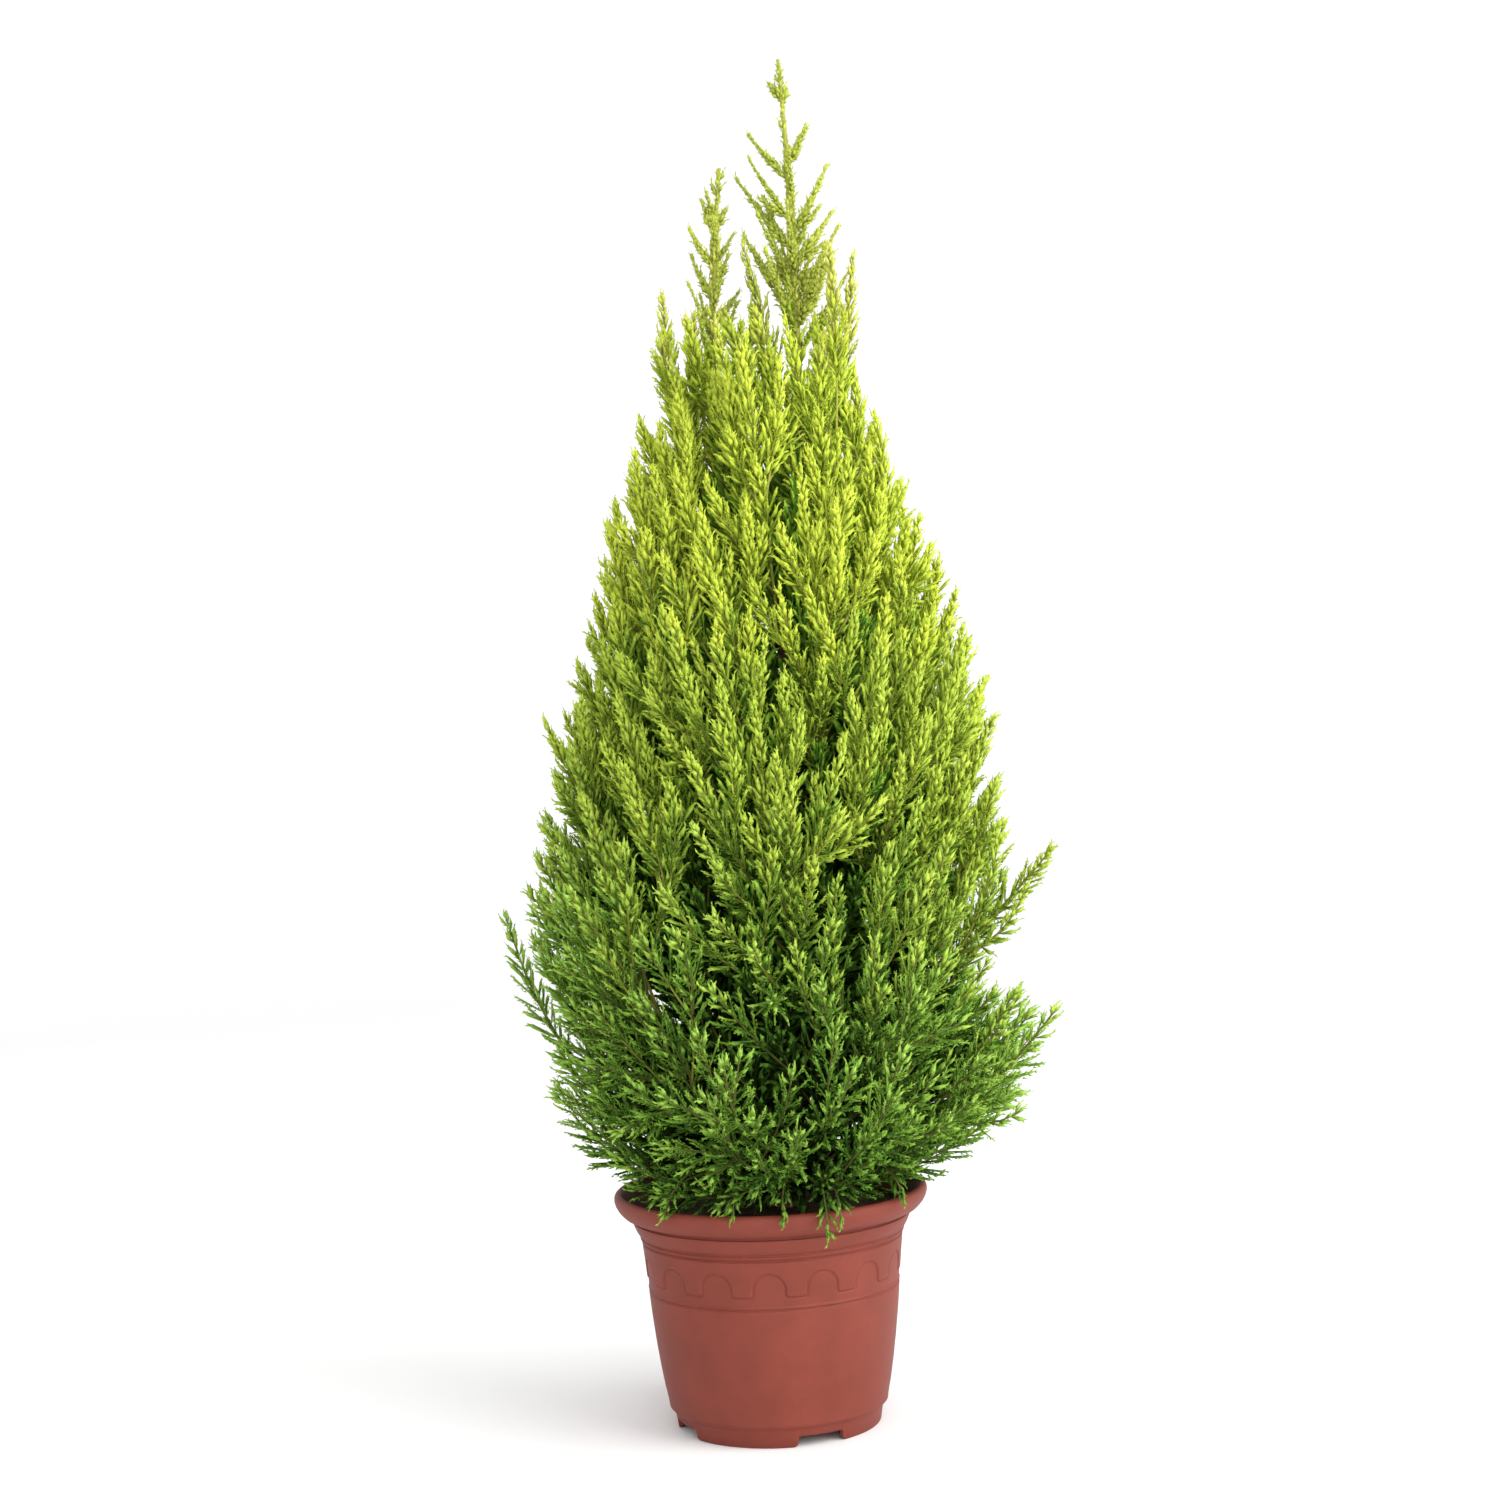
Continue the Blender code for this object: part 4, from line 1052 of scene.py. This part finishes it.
branchlets = dict(  # on the two leaders: height in mm, heading (0 is right, 270 the front), reach
    main=((921, 20, 11), (922, 165, 14), (905, 190, 8), (880, -22, 26), (877, 18, 29),
          (869, 172, 39), (862, 95, 28), (852, 275, 34), (840, 200, 49), (830, -12, 49),
          (820, 163, 61), (814, 84, 48), (807, 12, 43), (800, 262, 52), (792, 205, 52),
          (786, -35, 56), (782, 120, 56), (776, 184, 60), (770, 45, 60), (764, 300, 62),
          (758, 230, 60), (750, 8, 62)),
    side=((868, 30, 9), (862, 175, 10), (842, 200, 20), (836, 20, 14), (830, 175, 24),
          (822, 260, 22), (814, 10, 22), (808, 190, 30), (800, 90, 28), (794, -20, 24),
          (786, 165, 34), (778, 280, 32), (770, 25, 28), (762, 200, 38), (754, 120, 38),
          (746, -10, 38), (738, 240, 40)))
leaderDress = dict(
    lean=33, wander=9, rise=0.10, bare=0.04, width=(0.0072, 0.050), widths=(0.8, 1.2),
    step=0.00085, leans=(34, 17), tints=(-0.4, 0.6), shortest=0.015, shortTint=0.3,
    forks=(0.24, 0.42), forkFrom=0.046, forkTwice=0.060, forkReach=0.55, forkWidth=0.8,
    forkOut=0.8, forkEnd=(1.3, 0.6), stemFrom=0.66, overlap=(0.03, 0.004, 0.003), places=60,
    heights=dict(main=(0.800, 0.918), side=(0.838, 0.856)),  # where thin foliage and the tip start
    full=dict(width=0.0205, tint=1.6, step=0.0024, leans=(40, 30), taper=0.45),
    thin=dict(width=0.0094, tint=0.3, step=0.0009, leans=(32, 20), taper=0.3, sort="leader"),
    tip=dict(width=0.0090, tint=0.0, step=0.0016, leans=(38, 24), taper=0.3, sort="leader"))


def sprayKind(sort, reach, feathered):
    if sort == "inner":
        return "broad"
    if sort == "leader":
        return "stout" if reach < dressing["stout"] else "middle"
    if reach > dressing["long"]:
        return "feathered" if feathered else "long"
    return "middle" if reach > dressing["middle"] else "short"


def sprayGreen(place, shift, tint, sort, rng):  # which of the materials, by zone and then by tone
    shape = shading
    (shadedLeftFrom, shadedLeftSlope), (litRightFrom, litRightSlope) = shape["left"], shape["right"]
    height = place.z + shift + wobble(rng, shape["heightJitter"])
    # painted light and shade: towards the darker zones on the left, towards the lighter ones on the
    # right where the lamp falls
    height -= shadedLeftSlope * max(0.0, -shadedLeftFrom - place.x)
    height += litRightSlope * max(0.0, place.x - litRightFrom)
    zone = firstAbove(zoneTops.values(), height)
    # lighter, yellower greens further out in the crown: partly the outer shoots' own colour, partly
    # painted shade on the shoots deeper inside
    outwards = min(1.0, float(crownReach(np.array([place]))[0])) - shape["outFrom"]
    shade = tint + shape["middle"] + shape["outwards"] * outwards
    shade += wobble(rng, shape["jitter"])
    # painted shade: darker greens for shoots low down over the pot's rim
    shade -= shape["lowPaintedShade"] * clamp((shape["lowFrom"] - place.z) / shape["lowOver"])
    shade -= shape["leader"] if sort == "leader" else 0.0
    # plumes deep inside take the zone's darkest tone: painted shade, with their greener colour
    tone = 0 if sort == "inner" else 1 + clamp(round(shade), 0, 3)
    return zone * len(greens["top"]) + tone


def addSpray(place, way, towards, reach, tint, rng, out, shift=0.0, looseness=0.0, sort="plume"):
    feathered = rng.random() < between(*plumes["feathered"], looseness)
    kind = sprayKind(sort, reach, feathered)
    smallest, largest = dressing["sizes"]
    smallest = dressing["leaderSize"] if sort == "leader" else smallest
    size = clamp(reach / sprayKinds[kind][0], smallest, largest)
    way = way.normalized()
    bend = towards - way * towards.dot(way)
    bend = (bend if bend.length > dressing["leastBend"] else way.orthogonal()).normalized()
    turn = Matrix((bend, way.cross(bend), way)).transposed().to_euler()
    green = sprayGreen(place, shift, tint, sort, rng)
    variants = sprayShape["variants"]
    pick = list(sprayKinds).index(kind) * variants + rng.randrange(variants)
    out.append((tuple(place), tuple(turn), size, pick, green))


def dressTwig(line, rng, out, width, tint, looseness=0.0, bare=0.0, step=None, shift=0.0,
              leans=None, taper=None, sort="plume"):
    # shoots all round a twig, shorter and closer to it towards its tip
    shape, points = dressing, np.array(line)
    lengths = lengthsAlong(points)
    total = lengths[-1]
    start = total * bare
    step = step or between(*plumes["sprayStep"], looseness)
    count = max(shape["fewest"], int((total - start) / step))
    leans = leans or [between(*plumes[key], looseness) for key in ("leanBase", "leanTip")]
    taper = taper or between(*plumes["taper"], looseness)
    turn = rng.uniform(0, fullTurn)
    for k in range(count):
        share = k / count
        jitter = wobble(rng, shape["stepJitter"]) / count
        at = clamp(start + (total - start) * (share + jitter), 0.0, total)
        place = placeAt(points, lengths, at)
        segment = min(len(points) - 2, int(np.searchsorted(lengths, at, side="right")) - 1)
        run = Vector(points[segment + 1] - points[segment]).normalized()
        around = turned(run, turn + k * goldenAngle)
        foot = shape["footGrow"] + share / shape["footShare"] * (1 - shape["footGrow"])
        grow = min(1.0, foot) * (1 - taper * share ** shape["taperEase"])
        reach = width * grow * rng.uniform(*shape["reaches"])
        way = leaning(run, around, between(*leans, share) + wobble(rng, shape["leanJitter"]))
        shade = tint + shading["alongTwig"] * (share - 0.5)
        addSpray(place, way, run, reach, shade, rng, out, shift, looseness, sort)
    run = Vector(points[-1] - points[-2]).normalized()
    longest, share = shape["endReach"]
    addSpray(Vector(points[-1]) - run * shape["endBack"], run, run.orthogonal(),
             min(longest, width * share), tint + shading["end"], rng, out, shift, 0.0, sort)


def leaderTwigs(mass, shoots, rng):  # short branchlets on a leader
    shape, line = leaderDress, mass.stemLine
    line = [trunkPlace(shape["stemFrom"])] + line if mass.start is None else line
    line = resampled(line, shape["places"])
    grown = []
    for height, facing, reach in shoots:
        height, reach, facing = height / 1000, reach / 1000, math.radians(facing)
        index = min(range(len(line) - 1), key=lambda k: abs(line[k].z - height))
        run = (line[index + 1] - line[index]).normalized()
        side = Vector((math.cos(facing), math.sin(facing), 0.0))
        side = (side - run * run.dot(side)).normalized()
        way = leaning(run, side, shape["lean"] + rng.uniform(-1, 1) * shape["wander"])
        tip = line[index] + way * reach + run * reach * shape["rise"]
        grown.append(bent(line[index], line[index] + way * reach * 0.5, tip))
    return grown


def dressLeader(mass, rng, out):  # its branchlets, whose lines come back, and then its own stem
    shape, lines = leaderDress, []
    who = "main" if mass.start is None else "side"
    for line in leaderTwigs(mass, branchlets[who], rng):
        reach, way = (line[8] - line[0]).length, (line[8] - line[0]).normalized()
        if reach < shape["shortest"]:
            addSpray(line[0], way, Vector((0, 0, 1)), reach, shape["shortTint"], rng, out,
                     sort="leader")
            continue
        parts = [(line, 1.0)]
        if reach > shape["forkFrom"]:  # the longer ones fork once or twice
            for share in shape["forks"][:1 + int(reach > shape["forkTwice"])]:
                fork, run = line[int(share * 8)], (line[5] - line[2]).normalized()
                side = turned(run, rng.uniform(0, fullTurn))
                length = (1 - share) * shape["forkReach"] * reach
                middle = fork + (run + side * shape["forkOut"]).normalized() * length * 0.5
                ahead, aside = shape["forkEnd"]
                tip = fork + (run * ahead + side * aside).normalized() * length
                parts.append((bent(fork, middle, tip), shape["forkWidth"]))
        for part, share in parts:
            lines.append(part)
            width = shape["width"][0] + shape["width"][1] * reach
            width = width * share * rng.uniform(*shape["widths"])
            dressTwig(part, rng, out, width, rng.uniform(*shape["tints"]), bare=shape["bare"],
                      step=shape["step"], leans=shape["leans"], sort="leader")
    thinFrom, tipFrom = shape["heights"][who]
    thinBack, tipBack, top = shape["overlap"]
    stem = resampled(mass.stemLine, shape["places"])
    stem = [place for place in stem if place.z < mass.tip.z - top]
    full = [place for place in stem if place.z < thinFrom]
    dressTwig(full[2:], rng, out, **shape["full"])
    thin = [place for place in stem if thinFrom - thinBack < place.z < tipFrom]
    dressTwig(thin, rng, out, **shape["thin"])
    dressTwig([place for place in stem if place.z > tipFrom - tipBack], rng, out, **shape["tip"])
    return lines


def dressMass(mass, rng):  # the shoots of one mass, and the lines of its finest twigs
    shape, found = dressing, []
    for twig in twigs:
        if twig.mass is not mass:
            continue
        inner, looseness = twig.sort == "inner", looseAt(twig.line[8].z)
        width = between(*plumes["sprayReach"], looseness) * rng.uniform(*shape["widths"])
        width *= (shape["innerWidth"] if inner else 1.0) * twig.share
        # the tint of inner twigs is lowered: painted shade deep in the crown
        tint = wobble(rng, shape["tint"]) - (shape["innerPaintedShade"] if inner else 0.0)
        step = max(shape["innerStep"], between(*plumes["sprayStep"], looseness)) if inner else None
        shift = wobble(rng, shape["zoneShift"])
        dressTwig(twig.line, rng, found, width, tint, looseness, shape["bare"], step, shift,
                  sort="inner" if inner else "plume")
    if mass.spire:
        return found, dressLeader(mass, rng, found)
    looseness = looseAt(mass.tip.z)
    dressTwig(resampled(mass.stemLine, 9)[shape["stemFrom"]:], rng, found,
              between(*plumes["sprayReach"], looseness), shape["stemTint"], looseness)
    return found, []


def sprayTree(materials):  # a spray on every point, turned, sized and coloured as the point says
    tree = bpy.data.node_groups.new("spraysOnTwigs", "GeometryNodeTree")
    for name, way, kind in (("Geometry", "INPUT", "Geometry"), ("Sprays", "INPUT", "Collection"),
                            ("Spray Size", "INPUT", "Float"), ("Geometry", "OUTPUT", "Geometry")):
        tree.interface.new_socket(name, in_out=way, socket_type="NodeSocket" + kind)
    source, result = addNode(tree, "NodeGroupInput"), addNode(tree, "NodeGroupOutput")
    marks = {}
    for name, kind in (("kind", "INT"), ("turn", "FLOAT_VECTOR"), ("size", "FLOAT"),
                       ("tint", "INT"), ("tip", "INT")):
        marks[name] = addNode(tree, "GeometryNodeInputNamedAttribute", {"Name": name})
        marks[name].data_type = kind
    picks = addNode(tree, "GeometryNodeCollectionInfo",
                    {"Separate Children": True, "Reset Children": True})
    place = addNode(tree, "GeometryNodeInstanceOnPoints", {"Pick Instance": True})
    turn, size = addNode(tree, "FunctionNodeEulerToRotation"), addNode(tree, "ShaderNodeMath")
    size.operation = "MULTIPLY"
    realize, tint = addNode(tree, "GeometryNodeRealizeInstances"), addNode(tree, "ShaderNodeMath")
    connect(tree, (source, "Sprays", picks, "Collection"), (source, "Geometry", place, "Points"),
            (picks, "Instances", place, "Instance"),
            (marks["kind"], "Attribute", place, "Instance Index"),
            (marks["turn"], "Attribute", turn, "Euler"), (turn, "Rotation", place, "Rotation"),
            (marks["size"], "Attribute", size, 0), (source, "Spray Size", size, 1),
            (size, "Value", place, "Scale"), (place, "Instances", realize, "Geometry"),
            (marks["tint"], "Attribute", tint, 0), (marks["tip"], "Attribute", tint, 1))
    last = realize
    for number, material in enumerate(materials):
        same = addNode(tree, "FunctionNodeCompare")
        same.data_type, same.operation = "INT", "EQUAL"
        sides = {socket.name: socket for socket in same.inputs if socket.enabled}
        tree.links.new(tint.outputs["Value"], sides["A"])
        sides["B"].default_value = number
        paint = addNode(tree, "GeometryNodeSetMaterial", {"Material": material})
        connect(tree, (same, "Result", paint, "Selection"), (last, "Geometry", paint, "Geometry"))
        last = paint
    connect(tree, (last, "Geometry", result, "Geometry"))
    return tree


def plantSprays(name, found, tree, nodeNames):
    places, turns, sizes, kinds, tints = zip(*found)
    turns = np.array(turns, dtype=np.float32).ravel()
    mesh = bpy.data.meshes.new(name)
    mesh.from_pydata(places, [], [])
    for mark, kind, field, values in (
            ("turn", "FLOAT_VECTOR", "vector", turns), ("size", "FLOAT", "value", sizes),
            ("kind", "INT", "value", kinds), ("tint", "INT", "value", tints)):
        mesh.attributes.new(mark, kind, "POINT").data.foreach_set(field, values)
    holder = linked(name + "Points", mesh)
    grow = holder.modifiers.new("sprays", "NODES")
    grow.node_group = tree
    sockets = {item.name: item.identifier for item in tree.interface.items_tree
               if item.in_out == "INPUT"}
    grow[sockets["Sprays"]] = sprays
    grow[sockets["Spray Size"]] = 1.0
    graph = bpy.context.evaluated_depsgraph_get()
    made = bpy.data.meshes.new_from_object(holder.evaluated_get(graph))
    bpy.data.objects.remove(holder)
    for mark in ("turn", "size", "kind", "tint", "tip"):
        if mark in made.attributes:
            made.attributes.remove(made.attributes[mark])
    piece = linked(name, made)
    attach(piece, "root")
    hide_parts(*nodeNames)
    return len(made.polygons)


def makeFoliage():
    rng = random.Random(dressing["seed"])
    materials = [plainMaterial(f"{zone}Green{k + 1}", srgb(*tone), *shading["look"])
                 for zone in zoneTops for k, tone in enumerate(greens[zone])]
    tree = sprayTree(materials)
    groups, fine, total = [], [], 0
    for mass in masses:
        found, lines = dressMass(mass, rng)
        fine += lines
        cost = sum(sprayFaces[pick] for _, _, _, pick, _ in found)
        if not groups or groups[-1]["cost"] + cost > dressing["pieceFaces"]:
            groups.append(dict(cost=0, found=[], nodes=[]))
        groups[-1]["cost"] += cost
        groups[-1]["found"] += found
        groups[-1]["nodes"].append("foliage_" + mass.name)
    for number, group in enumerate(groups, 1):
        total += plantSprays(f"foliage{number}", group["found"], tree, group["nodes"])
        print("foliage piece", number, "of", len(groups), "faces", group["cost"])
    shoots = sum(len(group["found"]) for group in groups)
    print("foliage faces:", total, "twigs:", len(twigs), "sprays:", shoots)
    return fine


fineTwigs = makeFoliage()

# twigs and stems, in plain browns dealt out by height

twigShape = dict(
    sides=4, stemSides=7, stemFrom=0.0015, radius=dict(first=0.0014, other=0.0011, fine=0.0009),
    taper=0.4, stemTaper=0.30, leaderTaper=0.45, leaderGrow=1.15, jitter=0.08, seed=3,
    browns=((94, 96, 44), (134, 134, 56), (150, 152, 66)), tops=(0.34, 0.55, 9.0),
    look=(0.8, 0.2))  # roughness, specular


def makeTwigs():
    shape, radius = twigShape, twigShape["radius"]
    vertices, faces, tints = [], [], []
    rng = random.Random(shape["seed"])
    lines = [(twig.line, radius["first" if twig.sort == "first" else "other"], shape["taper"])
             for twig in twigs]
    lines += [(line, radius["fine"], shape["taper"]) for line in fineTwigs]
    for mass in masses:
        grow = shape["leaderGrow"] if mass.spire else 1.0
        lines.append((resampled(mass.stemLine, 12), mass.endRadius * grow,
                      shape["leaderTaper" if mass.spire else "stemTaper"]))
    for line, thick, taper in lines:
        count = len(faces)
        radii = [thick * (1 - (1 - taper) * k / (len(line) - 1)) for k in range(len(line))]
        sides = shape["sides"] if thick < shape["stemFrom"] else shape["stemSides"]
        tube(line, radii, sides, vertices, faces)
        height = line[len(line) // 2].z + wobble(rng, shape["jitter"])
        tints += [firstAbove(shape["tops"], height)] * (len(faces) - count)
    materials = [plainMaterial(f"twigBrown{k + 1}", srgb(*tone), *shape["look"])
                 for k, tone in enumerate(shape["browns"])]
    piece = meshObject("twigsAndStems", vertices, faces, materials)
    piece.data.polygons.foreach_set("material_index", tints)
    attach(piece, "root")
    print("twigs and stems made, faces:", len(faces))


makeTwigs()
